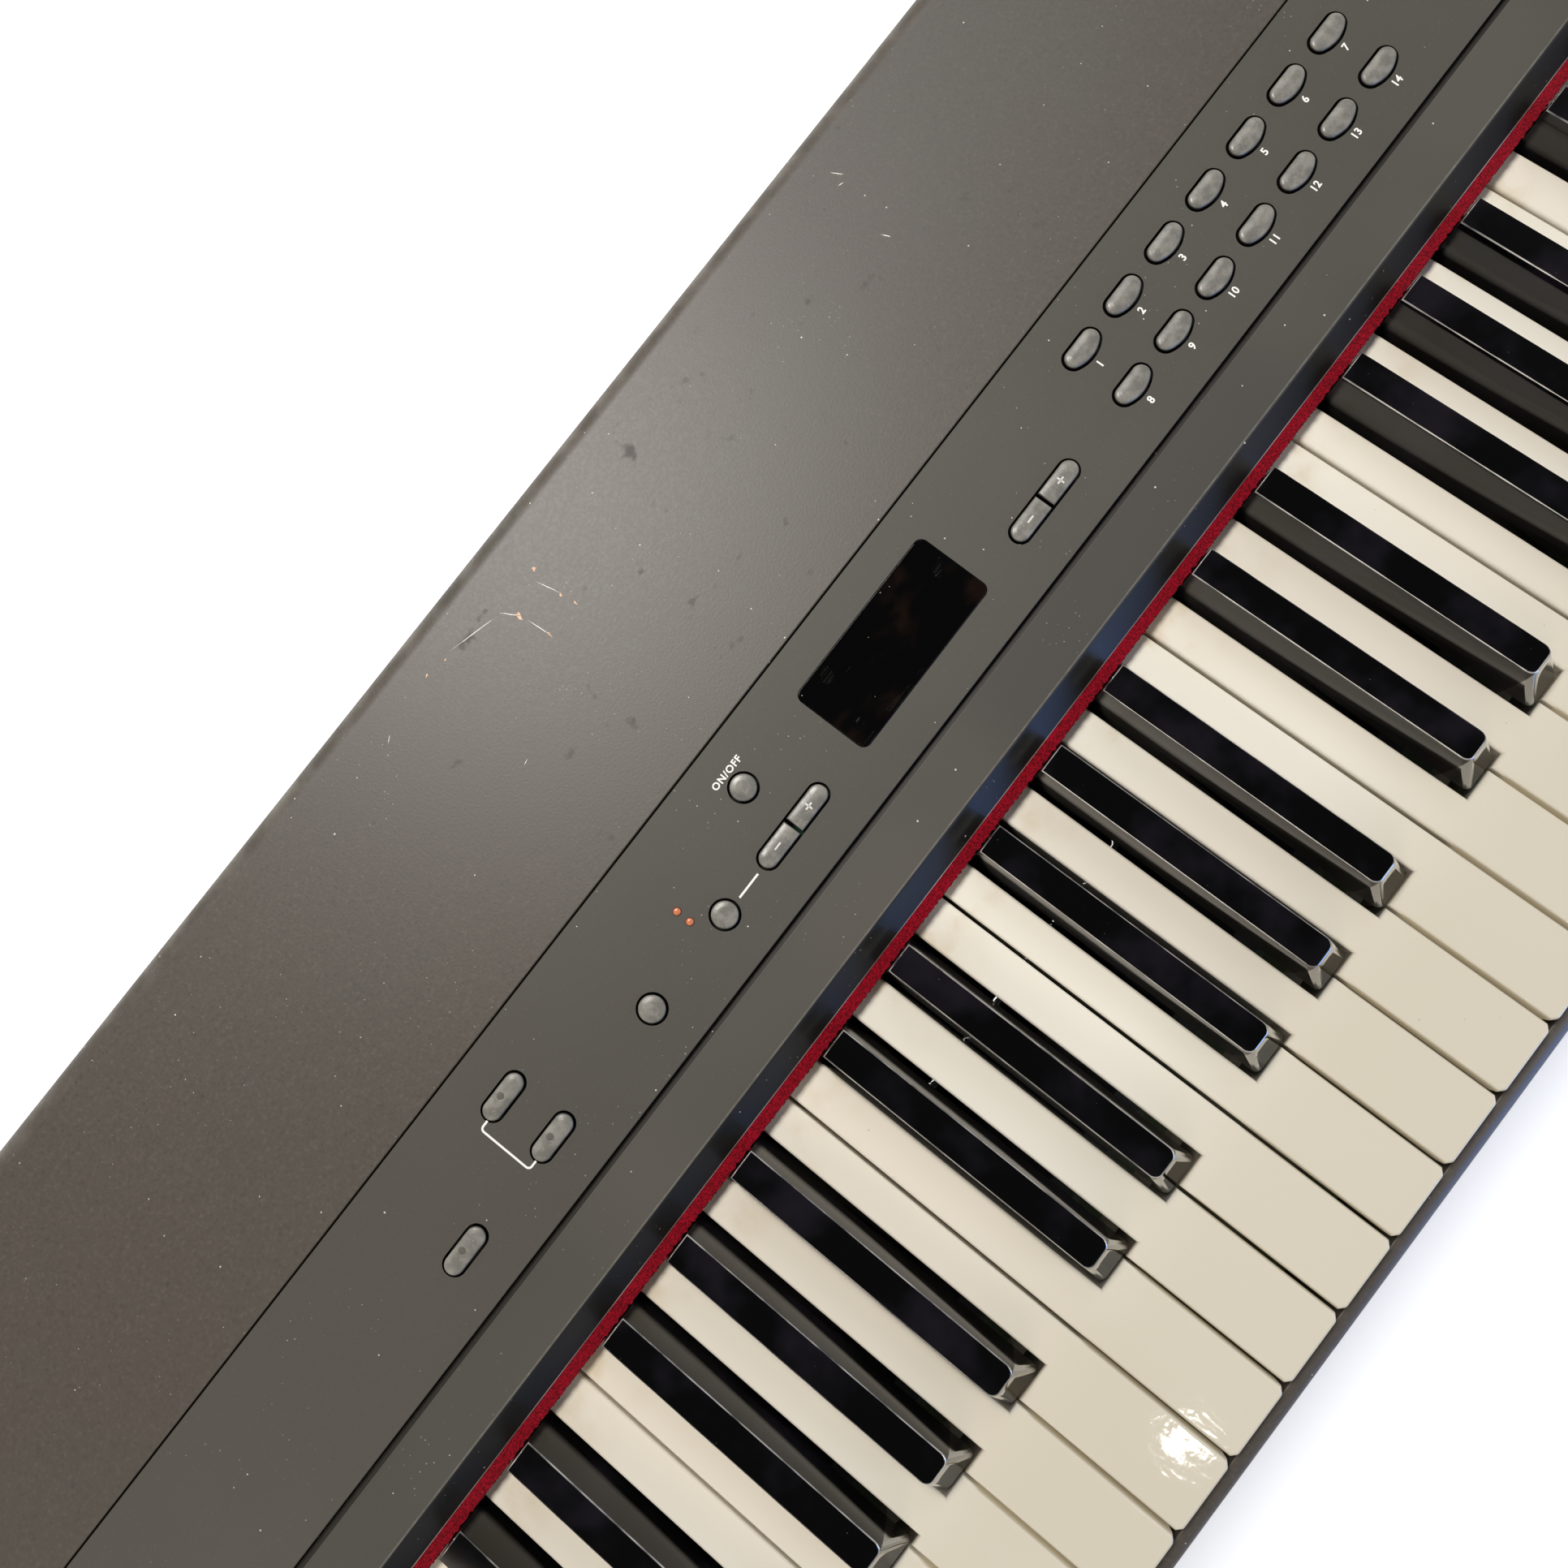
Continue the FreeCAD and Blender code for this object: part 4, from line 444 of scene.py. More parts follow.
red_felt = Finish("red_felt", Roughness=1.0, Specular_IOR_Level=0.1, Sheen_Weight=0.06)
fibre = red_felt.cloud(0.5 * MM, 4, stretch=(1, 1, 0.5))
crimson = blend(srgb(80, 2, 14), srgb(146, 10, 31), fade(fibre, 0.3, 0.7))
lint = red_felt.specks(1.6 * MM, 0.16 * MM, 0.2)
red_felt.set(Base_Color=blend(crimson, srgb(205, 120, 120), lint * 0.6))
red_felt.relief(fibre, 0.3 * MM)
low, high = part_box("felt_strip")
felt = bmesh.new()
bmesh.ops.create_cube(felt, size=1)
bmesh.ops.scale(felt, vec=Vector(high) - Vector(low), verts=felt.verts)
bmesh.ops.translate(felt, vec=(Vector(high) + Vector(low)) / 2, verts=felt.verts)
along = [e for e in felt.edges if abs(e.verts[0].co.x - e.verts[1].co.x) > MM]
bmesh.ops.subdivide_edges(
    felt, edges=along, cuts=int((high[0] - low[0]) / FELT_STEP), use_grid_fill=True
)
front_edges = [
    e for e in felt.edges
    if between(e, low[1] - MM, low[1] + 0.01 * MM, 1)
    and abs(e.verts[0].co.z - e.verts[1].co.z) > MM
]
bmesh.ops.subdivide_edges(felt, edges=front_edges, cuts=2, use_grid_fill=True)
for vert in felt.verts:
    if vert.co.y < low[1] + MM:
        wave = sin(vert.co.x * WAVE_LONG) + sin(vert.co.x * WAVE_SHORT + vert.co.z * WAVE_LEAN)
        vert.co.y += FUZZ * (0.5 * wave - 0.2)
        vert.co.z -= FUZZ * 0.3 * sin(vert.co.x * WAVE_SAG)
piece(felt, "red_felt_strip", red_felt, stands_for=["felt_strip"])

# Fascia: a folded strip between keys and panel. Its flat is painted like the panel, and its
# bevel, which looks down at the keys, is near black, partly satin black and partly painted shade.
# The edge between them carries a painted highlight, and the cut edge over the felt a pale painted
# highlight.
FASCIA_EDGE, FOLD_EDGE = 0.7 * MM, 0.25 * MM
BEVEL_DEPTH, CUT_EDGE = 6.6 * MM, 3.0 * MM
STEP_BACK, REAR_SHIFT, REBATE_SHIFT = 1.1 * MM, 0.3 * MM, 0.4 * MM
PANEL_SLOPE = radians(3.7)
CHARCOAL, CHARCOAL_DARK = srgb(82, 79, 72), srgb(72, 69, 63)
FASCIA_GREY = srgb(70, 68, 63)
DUST_WHITE = srgb(214, 210, 202)


def dusty(finish, colour, seed=0.0):
    """A colour with fine white dust and a few larger flecks lying on it."""
    drifts = fade(finish.cloud(30 * MM, 3, seed), 0.48, 0.62)
    fine = finish.specks(1.4 * MM, 0.24 * MM, 0.3, seed) * drifts
    coarse = finish.specks(4.2 * MM, 0.4 * MM, 0.3, seed + 5)
    return blend(colour, DUST_WHITE, fine * 0.6 + coarse)


def lengthwise(edge):
    """Whether an edge runs along the whole case."""
    return abs(edge.verts[0].co.x - edge.verts[1].co.x) > 1.0


def above_panel(finish):
    """How high a place lies above the panel's surface, which the fascia's flat runs up to."""
    height, back = finish.along("Z"), finish.along("Y")
    return height - panel_origin.z - (back - panel_origin.y) * tan(PANEL_SLOPE)


low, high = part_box("control_panel")
rise = (high[1] - low[1]) * tan(PANEL_SLOPE)
panel_origin = Vector((0, low[1], high[2] - rise))
satin = Finish("fascia_paint", Specular_IOR_Level=0.4)
low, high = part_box("front_fascia")
bevel_top = low[1] + BEVEL_DEPTH
depth_place = satin.along("Y")
height_place = satin.along("Z")
on_flat = fade(depth_place, bevel_top - 0.1 * MM, bevel_top + 0.2 * MM)
# Painted highlight: a patchy light line on the flat just behind the bevel's rounded edge.
rub_and_sheen = fade(abs(depth_place - bevel_top - 0.35 * MM), 0.35 * MM, 0.1 * MM)
rub_and_sheen = rub_and_sheen * satin.cloud(2.5 * MM, 4, 3)
# Painted highlight: the fascia's lowest 3 mm, its cut edge over the felt, gets a patchy pale line.
cut_edge_highlight = fade(height_place, low[2] + CUT_EDGE, low[2] + CUT_EDGE - 0.15 * MM)
flat = blend(CHARCOAL, FASCIA_GREY, fade(satin.cloud(0.12, 2, 5), 0.3, 0.6))
# Painted shade: the rebate down in the groove behind the flat is painted dark brown.
groove_shade = fade(above_panel(satin), -0.12 * MM, -0.3 * MM) * on_flat
# The bevel is near black, partly its own satin black and partly painted shade for a face turned from
# the light.
coat = blend(srgb(30, 31, 31), flat, on_flat)
coat = blend(coat, srgb(150, 145, 136), rub_and_sheen * 0.6)
coat = blend(coat, srgb(226, 216, 206), cut_edge_highlight * (satin.cloud(25 * MM, 3, 6) * 1.2))
satin.set(
    Base_Color=dusty(satin, blend(coat, srgb(38, 34, 30), groove_shade)),
    Roughness=0.36 + on_flat * 0.08 + satin.cloud(0.9 * MM) * 0.12,
)
satin.relief(satin.cloud(0.45 * MM, 2), 0.012 * MM)
fascia = merged("front_fascia")
for vert in fascia.verts:
    if vert.co.y > high[1] - HAIR:
        vert.co.y += REAR_SHIFT
    elif abs(vert.co.y - high[1] + STEP_BACK) < HAIR:
        vert.co.y -= REBATE_SHIFT
soften(
    fascia, FASCIA_EDGE, 6,
    lambda e: lengthwise(e) and between(e, bevel_top - 0.6 * MM, bevel_top + 0.4 * MM, 1)
    and between(e, high[2] - 3 * MM, high[2]),
)
soften(fascia, FOLD_EDGE, 2, lengthwise, crisp=60)
piece(fascia, "fascia", satin, stands_for=["front_fascia"])

# Control panel: a charcoal moulding that slopes up to the rear, with a hole for each button, the
# display window and the slider. Its long edges are broken, and the holes are cut clean.
PANEL_EDGE = 0.3 * MM

on_panel = Matrix.Translation(panel_origin) @ Matrix.Rotation(PANEL_SLOPE, 4, "X")
panel_paint = Finish("panel_paint", Specular_IOR_Level=0.4)
patches = blend(CHARCOAL, CHARCOAL_DARK, panel_paint.cloud(0.10, 3, 4))
grain = panel_paint.cloud(0.55 * MM, 2, 2)
patches = blend(patches, srgb(112, 108, 102), fade(grain, 0.62, 0.8) * 0.35)
# Painted shade: the walls of the holes, below the panel's surface, are painted near black.
hole_shade = fade(above_panel(panel_paint), -0.1 * MM, -0.3 * MM)
panel_paint.set(
    Base_Color=blend(dusty(panel_paint, patches, 2), srgb(14, 14, 14), hole_shade),
    Roughness=0.44 + panel_paint.cloud(20 * MM, 3) * 0.12,
)
panel_paint.relief(panel_paint.cloud(0.45 * MM, 2), 0.012 * MM)
panel = merged("control_panel")
soften(
    panel, PANEL_EDGE, 2,
    lambda e: lengthwise(e) and e.verts[0].co.z > panel_origin.z - HAIR, crisp=60,
)
piece(panel, "panel", panel_paint, stands_for=["control_panel"])

# Buttons: moulded in grey silicone rubber, with a flange under the panel that keeps them in. Caps
# are crowned and round off into their sides, which are painted near black as shade in the gap.
FLANGE_REACH, FLANGE_THICK = 1.8 * MM, 0.9 * MM
BUTTON_DROP, BUTTON_RISE = 4.2 * MM, 1.4 * MM
CAP_ROUND, CAP_CROWN = 0.8 * MM, 0.3 * MM
VOICE_CORNER, VOICE_ROUND, VOICE_PITCH = 2.75 * MM, 1.2 * MM, 19.3 * MM
EFFECT_PITCH = 38 * MM
SPLIT = 1.0 * MM
SHADOW = srgb(16, 15, 14)

silicone = Finish("grey_silicone", Specular_IOR_Level=0.6)
handled = silicone.cloud(2.4 * MM, 4)


def rubber_grey(finish):
    """Mottled grey on top, turning to near black painted shade down in the gap."""
    fine = finish.cloud(0.5 * MM, 3)
    uneven = fade(finish.cloud(3 * MM, 4), 0.35, 0.7)
    greys = blend(srgb(110, 108, 102), srgb(136, 133, 125), uneven)
    greys = blend(greys, srgb(176, 172, 160), fade(fine, 0.58, 0.75) * 0.4)
    return blend(SHADOW, greys, fade(above_panel(finish), 0.15 * MM, 0.75 * MM))


silicone.set(Base_Color=rubber_grey(silicone), Roughness=0.30 + fade(handled, 0.4, 0.7) * 0.14)
silicone.relief(silicone.cloud(0.3 * MM, 3), 0.012 * MM)


def panel_box(node):
    """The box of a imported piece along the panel's own slope: lowest and highest corner."""
    down = on_panel.inverted()
    corners = [down @ v.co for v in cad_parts[node].data.vertices]
    return (Vector(map(least, zip(*corners))) for least in (min, max))


def bow(x, y, radius, start, end, steps=20):
    """Places along an arc, counterclockwise, from one angle to another."""
    turns = [start + (end - start) * n / steps for n in range(steps + 1)]
    return [Vector((x + radius * cos(turn), y + radius * sin(turn))) for turn in turns]


def closed(places):
    """The outline without places that fall on the one before."""
    return [
        here for before, here in zip(places[-1:] + places, places)
        if (here - before).length > 0.01 * MM
    ]


def pill(length, depth):
    """Round at both ends; a disc where its length is its depth."""
    radius, arm = depth / 2, (length - depth) / 2
    quarter = pi / 2
    return closed(
        bow(arm, 0, radius, -quarter, quarter) + bow(-arm, 0, radius, quarter, 3 * quarter)
    )


def half_pill(length, depth, side):
    """The left (-1) or right (1) part of a pill that is split in two."""
    radius, arm = depth / 2, (length - depth) / 2
    front, rear = (Vector((SPLIT / 2, y)) for y in (-radius, radius))
    places = [front, *bow(arm, 0, radius, -pi / 2, pi / 2), rear]
    return places if side > 0 else [Vector((-p.x, p.y)) for p in reversed(places)]


def voice(length, depth):
    """Straight along the rear, round at both ends and bulging to the front."""
    arm, ahead = length / 2 - VOICE_CORNER, depth - VOICE_CORNER
    bulge = (arm**2 + ahead**2 - VOICE_CORNER**2) / (2 * (ahead - VOICE_CORNER))
    tip, back = atan2(ahead - bulge, arm), depth / 2 - VOICE_CORNER
    return closed(
        bow(arm, back, VOICE_CORNER, tip, pi / 2)
        + bow(-arm, back, VOICE_CORNER, pi / 2, pi - tip)
        + bow(0, back - ahead + bulge, bulge, pi - tip, 2 * pi + tip)
    )


def shrunk(outline, inwards):
    """The outline moved inwards all round."""
    moved = []
    for n, here in enumerate(outline):
        first = (here - outline[n - 1]).normalized().orthogonal()
        second = (outline[(n + 1) % len(outline)] - here).normalized().orthogonal()
        moved.append(here + (first + second) * inwards / (1 + first.dot(second)))
    return moved


def stacked(outline, levels):
    """A solid of outlines one above the other: (inwards, height) of each, from the foot up."""
    shape = bmesh.new()
    rings = [
        [shape.verts.new((*place, height)) for place in shrunk(outline, inwards)]
        for inwards, height in levels
    ]
    for below, above in zip(rings, rings[1:]):
        for n in range(len(outline)):
            shape.faces.new((below[n - 1], below[n], above[n], above[n - 1]))
    shape.faces.new(reversed(rings[0]))
    shape.faces.new(rings[-1])
    return shape


def set_down(shape, spot):
    """Put the shape at a place on the panel, along the panel's own slope."""
    bmesh.ops.translate(shape, vec=spot, verts=shape.verts)
    bmesh.ops.transform(shape, matrix=on_panel, verts=shape.verts)
    return shape


def button(outline, middle, flange, cap_round=CAP_ROUND):
    """A stem with a crowned cap, over a flange, set on the panel."""
    side = BUTTON_RISE - CAP_CROWN - cap_round
    turns = [radians(15 * n) for n in range(7)]
    stem = [(0, -BUTTON_DROP)]
    rim = [(cap_round * (1 - cos(turn)), side + cap_round * sin(turn)) for turn in turns]
    low_crown = (cap_round + 0.5 * MM, BUTTON_RISE - 0.4 * CAP_CROWN)
    crown = [low_crown, (cap_round + 1.3 * MM, BUTTON_RISE)]
    shape = stacked(outline, stem + rim + crown)
    plate = bmesh.ops.create_cube(shape, size=1)["verts"]
    bmesh.ops.scale(shape, vec=(*flange, FLANGE_THICK), verts=plate)
    bmesh.ops.translate(shape, vec=(0, 0, FLANGE_THICK / 2 - BUTTON_DROP), verts=plate)
    return set_down(shape, (*middle, 0))


def gather(shapes):
    """Several shapes as one."""
    whole, mesh = bmesh.new(), bpy.data.meshes.new("part")
    for shape in shapes:
        shape.to_mesh(mesh)
        shape.free()
        whole.from_mesh(mesh)
    bpy.data.meshes.remove(mesh)
    return whole


# Lamp buttons: three of the long buttons have a small round lens in the cap, for a lamp behind
# it. The lens is a spot of darker rubber that lies a little below the cap's top.
LENS_RADIUS, LENS_BLUR, LENS_BACK = 1.1 * MM, 0.12 * MM, 0.6 * MM
LAMP_BUTTONS = ("transpose", "master", "master_edit")

lit = Finish("grey_silicone_with_lens", Specular_IOR_Level=0.6, Roughness=0.36)
away = []
for node in LAMP_BUTTONS:
    low, high = panel_box(node)
    centre = on_panel @ Vector((*((low + high) / 2).xy, BUTTON_RISE)) + Vector((0, LENS_BACK, 0))
    ends = {0: lit.place, 1: centre}
    away.append(lit.place.node("VectorMath", ends, output="Value", operation="DISTANCE"))
nearest = away[0]
for distance in away[1:]:
    nearest = nearest.calculate("MINIMUM", nearest, distance)
lens = fade(nearest, LENS_RADIUS + LENS_BLUR, LENS_RADIUS - LENS_BLUR)
lit.set(Base_Color=blend(rubber_grey(lit), srgb(92, 89, 82), lens))
lit.relief(lit.cloud(0.3 * MM, 3) - lens * 4, 0.012 * MM)

FLANGE = Vector((FLANGE_REACH, FLANGE_REACH))
button_places = {}
for node in ("demo", "function", "click", "transpose", "master", "master_edit"):
    low, high = panel_box(node)
    across, middle = (high - low).xy, ((high + low) / 2).xy
    length, depth = across - 2 * FLANGE
    button_places[node] = middle
    finish = lit if node in LAMP_BUTTONS else silicone
    piece(button(pill(length, depth), middle, across), node + "_cap", finish, node, [node])

for node, side in (("tempo_minus", -1), ("tempo_plus", 1), ("no", -1), ("yes", 1)):
    low, high = panel_box(node)
    across, middle = (high - low).xy, ((high + low) / 2).xy
    length = 2 * (across.x - FLANGE_REACH) + SPLIT
    outline = half_pill(length, across.y - 2 * FLANGE_REACH, side)
    shift = Vector(((across.x + SPLIT) / 2 * side, 0))
    button_places[node] = middle - shift + Vector((side * length / 4, 0))
    outline = [place - shift for place in outline]
    piece(button(outline, middle, across), node + "_cap", silicone, node, [node])

ROWS = (  # name, how many, pitch, outline, rounding of the caps
    ("voice_buttons_rear_row", 7, VOICE_PITCH, voice, VOICE_ROUND),
    ("voice_buttons_front_row", 7, VOICE_PITCH, voice, VOICE_ROUND),
    ("effect_buttons", 4, EFFECT_PITCH, pill, CAP_ROUND),
)
for node, count, pitch, outline, cap_round in ROWS:
    low, high = panel_box(node)
    across = (high - low).xy - Vector(((count - 1) * pitch, 0))
    length, depth = across - 2 * FLANGE
    places = [low.xy + across / 2 + Vector((n * pitch, 0)) for n in range(count)]
    button_places[node] = places
    row = gather(button(outline(length, depth), place, across, cap_round) for place in places)
    piece(row, node + "_caps", silicone, node, [node])

# Printed marks: plain numbers, signs and guide lines, screen printed in white on the panel and
# in pale grey on the split buttons.
PRINT_THICK = 0.02 * MM
DIGIT_SIZE, DIGIT_SPACING, DIGIT_SHIFT = 3.15 * MM, 1.08, Vector((-0.4, -6.2)) * MM
SWITCH_SIZE, SWITCH_SPACING, SWITCH_SHIFT = 2.85 * MM, 1.16, Vector((0.3, 6.1)) * MM
SIGN_LENGTH, SIGN_WIDTH = 2.5 * MM, 0.5 * MM
LINE_WIDTH, BRACKET_BEND, BRACKET_REACH = 0.62 * MM, 1.1 * MM, 2.9 * MM
BRACKET_LEFT, BRACKET_TOP, BRACKET_FOOT = 10.7 * MM, 0.6 * MM, 0.3 * MM
DASH_LENGTH, DASH_SHIFT = 8.2 * MM, Vector((-1.6, -0.3)) * MM

white_ink = Finish("white_ink", Roughness=0.5)
thin = fade(white_ink.cloud(0.5 * MM), 0.6, 0.8)
white_ink.set(Base_Color=blend(srgb(236, 235, 231), srgb(205, 203, 197), thin))
grey_ink = Finish("grey_ink", Roughness=0.5)
grey_ink.set(Base_Color=blend(srgb(226, 225, 219), srgb(196, 194, 188), grey_ink.cloud(0.6 * MM)))


def lettering(text, size, spacing, x, y):
    """Bold plain type, centred at a place on the panel."""
    curve = bpy.data.curves.new("type", "FONT")
    curve.body, curve.size, curve.offset = text, size, 0.03 * size
    curve.extrude, curve.resolution_u, curve.space_character = PRINT_THICK, 4, spacing
    curve.align_x = curve.align_y = "CENTER"
    carrier = bpy.data.objects.new("type", curve)
    mesh = bpy.data.meshes.new_from_object(carrier)
    shape = bmesh.new()
    shape.from_mesh(mesh)
    bpy.data.objects.remove(carrier)
    bpy.data.curves.remove(curve)
    bpy.data.meshes.remove(mesh)
    return set_down(shape, (x, y, PRINT_THICK))


def stroke(x, y, length, width, lift=0.0):
    """A printed line with square ends, centred at a place on the panel."""
    shape = bmesh.new()
    bmesh.ops.create_cube(shape, size=1)
    bmesh.ops.scale(shape, vec=(length, width, 2 * PRINT_THICK), verts=shape.verts)
    return set_down(shape, (x, y, lift + PRINT_THICK))


def ribbon(places, width):
    """A printed line of even width through places on the panel."""
    shape, sides = bmesh.new(), []
    for n, here in enumerate(places):
        ahead = (places[min(n + 1, len(places) - 1)] - places[max(n - 1, 0)]).normalized()
        out = ahead.orthogonal() * width / 2
        sides.append([shape.verts.new((*(here + side), 2 * PRINT_THICK)) for side in (out, -out)])
    for (a, b), (c, d) in zip(sides, sides[1:]):
        shape.faces.new((a, c, d, b))
    bmesh.ops.recalc_face_normals(shape, faces=shape.faces)
    bmesh.ops.transform(shape, matrix=on_panel, verts=shape.verts)
    return shape


numbers = []
for node, first in (("voice_buttons_rear_row", 1), ("voice_buttons_front_row", 8)):
    for step, spot in enumerate(button_places[node]):
        number = str(first + step)
        numbers.append(lettering(number, DIGIT_SIZE, DIGIT_SPACING, *(spot + DIGIT_SHIFT)))
switch_place = button_places["click"] + SWITCH_SHIFT
numbers.append(lettering("ON/OFF", SWITCH_SIZE, SWITCH_SPACING, *switch_place))
piece(gather(numbers), "printed_numbers", white_ink)

master, edit = button_places["master"], button_places["master_edit"]
function, tempo = button_places["function"], button_places["tempo_minus"]
left = master.x - BRACKET_LEFT
right, middle = left + BRACKET_REACH, left + BRACKET_BEND
top, foot = master.y - BRACKET_TOP, edit.y - BRACKET_FOOT
bracket = [
    Vector((right, top)),
    *bow(middle, top - BRACKET_BEND, BRACKET_BEND, pi / 2, pi, 8),
    *bow(middle, foot + BRACKET_BEND, BRACKET_BEND, pi, 1.5 * pi, 8),
    Vector((right, foot)),
]
dash_place = Vector(((function.x + tempo.x) / 2, function.y)) + DASH_SHIFT
dash = stroke(*dash_place, DASH_LENGTH, LINE_WIDTH)
piece(gather([ribbon(bracket, LINE_WIDTH), dash]), "printed_lines", white_ink)

for node in ("tempo_minus", "tempo_plus", "no", "yes"):
    spot, lift = button_places[node], BUTTON_RISE - 0.03 * MM
    signs = [stroke(spot.x, spot.y, SIGN_LENGTH, SIGN_WIDTH, lift)]
    if node in ("tempo_plus", "yes"):
        signs.append(stroke(spot.x, spot.y, SIGN_WIDTH, SIGN_LENGTH, lift))
    piece(gather(signs), node + "_sign", grey_ink, node)

# Display: a plate of smoked acrylic set flush in the panel. It is handled, so it has smears,
# dust and hair scratches that show against its black.
WINDOW_EDGE = 0.18 * MM

acrylic = Finish("smoked_acrylic", IOR=1.42)
smears = fade(acrylic.cloud(16 * MM, 3, 1, (1, 1.6, 1)), 0.52, 0.8)
hairs = acrylic.scratches(9 * MM, 0.08 * MM, 0.4, 2, radians(60))
motes = acrylic.specks(2.4 * MM, 0.28 * MM, 0.3, 8)
marks = hairs * 0.35 + motes
black = blend(srgb(1, 1, 1), srgb(44, 28, 20), smears * 0.35)
acrylic.set(
    Base_Color=blend(black, srgb(196, 192, 184), marks * 0.6),
    Roughness=0.03 + smears * 0.05 + marks * 0.4,
)
window = merged("display_window")
soften(window, WINDOW_EDGE, 2, lambda e: e.verts[0].co.z > panel_origin.z - 2 * HAIR, crisp=60)
piece(window, "display_plate", acrylic, stands_for=["display_window"])

# Indicator lamps: two domed lenses of amber plastic, one in front of the other, pressed up into
# reamed holes in the panel.
LAMP_PITCH, LAMP_LIFT = 4.5 * MM, 0.1 * MM

amber = Finish("amber_lens", Roughness=0.15)
# Painted light and shade: the domes are dark brown low at the rim and light amber on top.
dome_shading = fade(above_panel(amber), 0.15 * MM, 0.55 * MM)
amber.set(Base_Color=blend(srgb(84, 34, 20), srgb(206, 122, 84), dome_shading + amber.cloud(0.8 * MM) * 0.1))
low, high = panel_box("indicator_lenses")
lamp_radius = (high.x - low.x) / 2
lamps = []
for step in range(2):
    dome = bmesh.new()
    bmesh.ops.create_uvsphere(dome, u_segments=24, v_segments=12, radius=lamp_radius)
    bmesh.ops.bisect_plane(
        dome, geom=dome.verts[:] + dome.edges[:] + dome.faces[:], plane_co=(0, 0, 0),
        plane_no=(0, 0, -1), clear_outer=True,
    )
    bmesh.ops.holes_fill(dome, edges=dome.edges, sides=24)
    base = [f for f in dome.faces if len(f.verts) > 4]
    grown = bmesh.ops.extrude_face_region(dome, geom=base)["geom"]
    foot = [part for part in grown if isinstance(part, bmesh.types.BMVert)]
    bmesh.ops.translate(dome, vec=(0, 0, low.z), verts=foot)
    bmesh.ops.scale(dome, vec=(1, 1, 0.5), verts=[v for v in dome.verts if v.co.z > 0])
    bmesh.ops.recalc_face_normals(dome, faces=dome.faces)
    spot = (low.x + lamp_radius, high.y - lamp_radius - step * LAMP_PITCH, LAMP_LIFT)
    lamps.append(set_down(dome, spot))
piece(gather(lamps), "lamp_lenses", amber, stands_for=["indicator_lenses"])

# Volume slider: a dished knob of black plastic with broken edges, on a flat stem that comes up
# through the panel's slot. The stem stops just short of the slot's ends.
KNOB_EDGE, KNOB_LIFT = 0.5 * MM, 2 * MM
STEM_CLEAR, STEM_HALF = 0.1 * MM, 3 * MM

black_plastic = Finish("black_plastic")
black_plastic.set(
    Base_Color=blend(srgb(30, 30, 30), srgb(44, 43, 42), black_plastic.cloud(3 * MM)),
    Roughness=0.38 + black_plastic.cloud(0.8 * MM, seed=3) * 0.15,
)
black_plastic.relief(black_plastic.cloud(0.4 * MM), 0.015 * MM)
knob = merged("volume_slider")
soften(knob, KNOB_EDGE, 3, lambda e: e.verts[0].co.z > panel_origin.z + KNOB_LIFT)
low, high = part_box("volume_slider")
middle = (low[0] + high[0]) / 2
for vert in knob.verts:
    if STEM_CLEAR < abs(vert.co.x - middle) < STEM_HALF:
        vert.co.x += STEM_CLEAR if vert.co.x < middle else -STEM_CLEAR
piece(knob, "volume_knob", black_plastic, "volume_slider", ["volume_slider"])

# Top cover: one sheet of steel with a flange at the front, a flat top and a rounded rear bend,
# in warm dark grey paint. It is scuffed, and chipped to bare copper-brown primer at the rear.
COVER_FRONT_EDGE = 0.35 * MM
BEND_REACH, BEND_DROP = 9 * MM, 7 * MM

cover_paint = Finish("cover_paint", Specular_IOR_Level=0.55)
broad = cover_paint.cloud(0.16, 3, 6)
warm = blend(srgb(67, 61, 54), srgb(80, 73, 65), broad)
warm = blend(warm, srgb(70, 69, 60), fade(cover_paint.cloud(45 * MM, 2, 17), 0.45, 0.62) * 0.2)
blotches = fade(cover_paint.cloud(7 * MM, 3, 12), 0.66, 0.80)
warm = blend(warm, srgb(52, 49, 47), blotches * 0.45)
mottle = cover_paint.cloud(1.1 * MM, 3, 3)
warm = blend(warm, srgb(108, 101, 93), fade(mottle, 0.52, 0.78) * 0.25)
warm = blend(warm, srgb(48, 44, 41), fade(mottle, 0.46, 0.26) * 0.3)
spots = cover_paint.specks(11 * MM, 1.3 * MM, 0.35, 15)
warm = blend(warm, srgb(48, 45, 43), spots * 0.55)
low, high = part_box("top_cover")
back = fade(cover_paint.along("Y"), high[1] - BEND_REACH, high[1] - 2 * MM)
on_bend = back * fade(cover_paint.along("Z"), high[2] - BEND_DROP, high[2] - 3 * MM)
# The rolled rear bend is patchily lighter: paint rubbed thin, and partly painted highlight on the
# bend.
rub_and_sheen = on_bend * fade(cover_paint.cloud(9 * MM, 5, 2), 0.35, 0.7)
warm = blend(warm, srgb(128, 124, 116), rub_and_sheen * 0.5)
cover_paint.set(
    Base_Color=dusty(cover_paint, warm, 7),
    Roughness=0.40 + mottle * 0.12 + blotches * 0.15,
)
cover_paint.relief(cover_paint.cloud(0.8 * MM, 3), 0.03 * MM)
cover = merged("top_cover")
soften(
    cover, COVER_FRONT_EDGE, 2,
    lambda e: lengthwise(e) and between(e, low[1], low[1] + 2 * MM, 1), crisp=60,
)
piece(cover, "painted_cover", cover_paint, stands_for=["top_cover"])

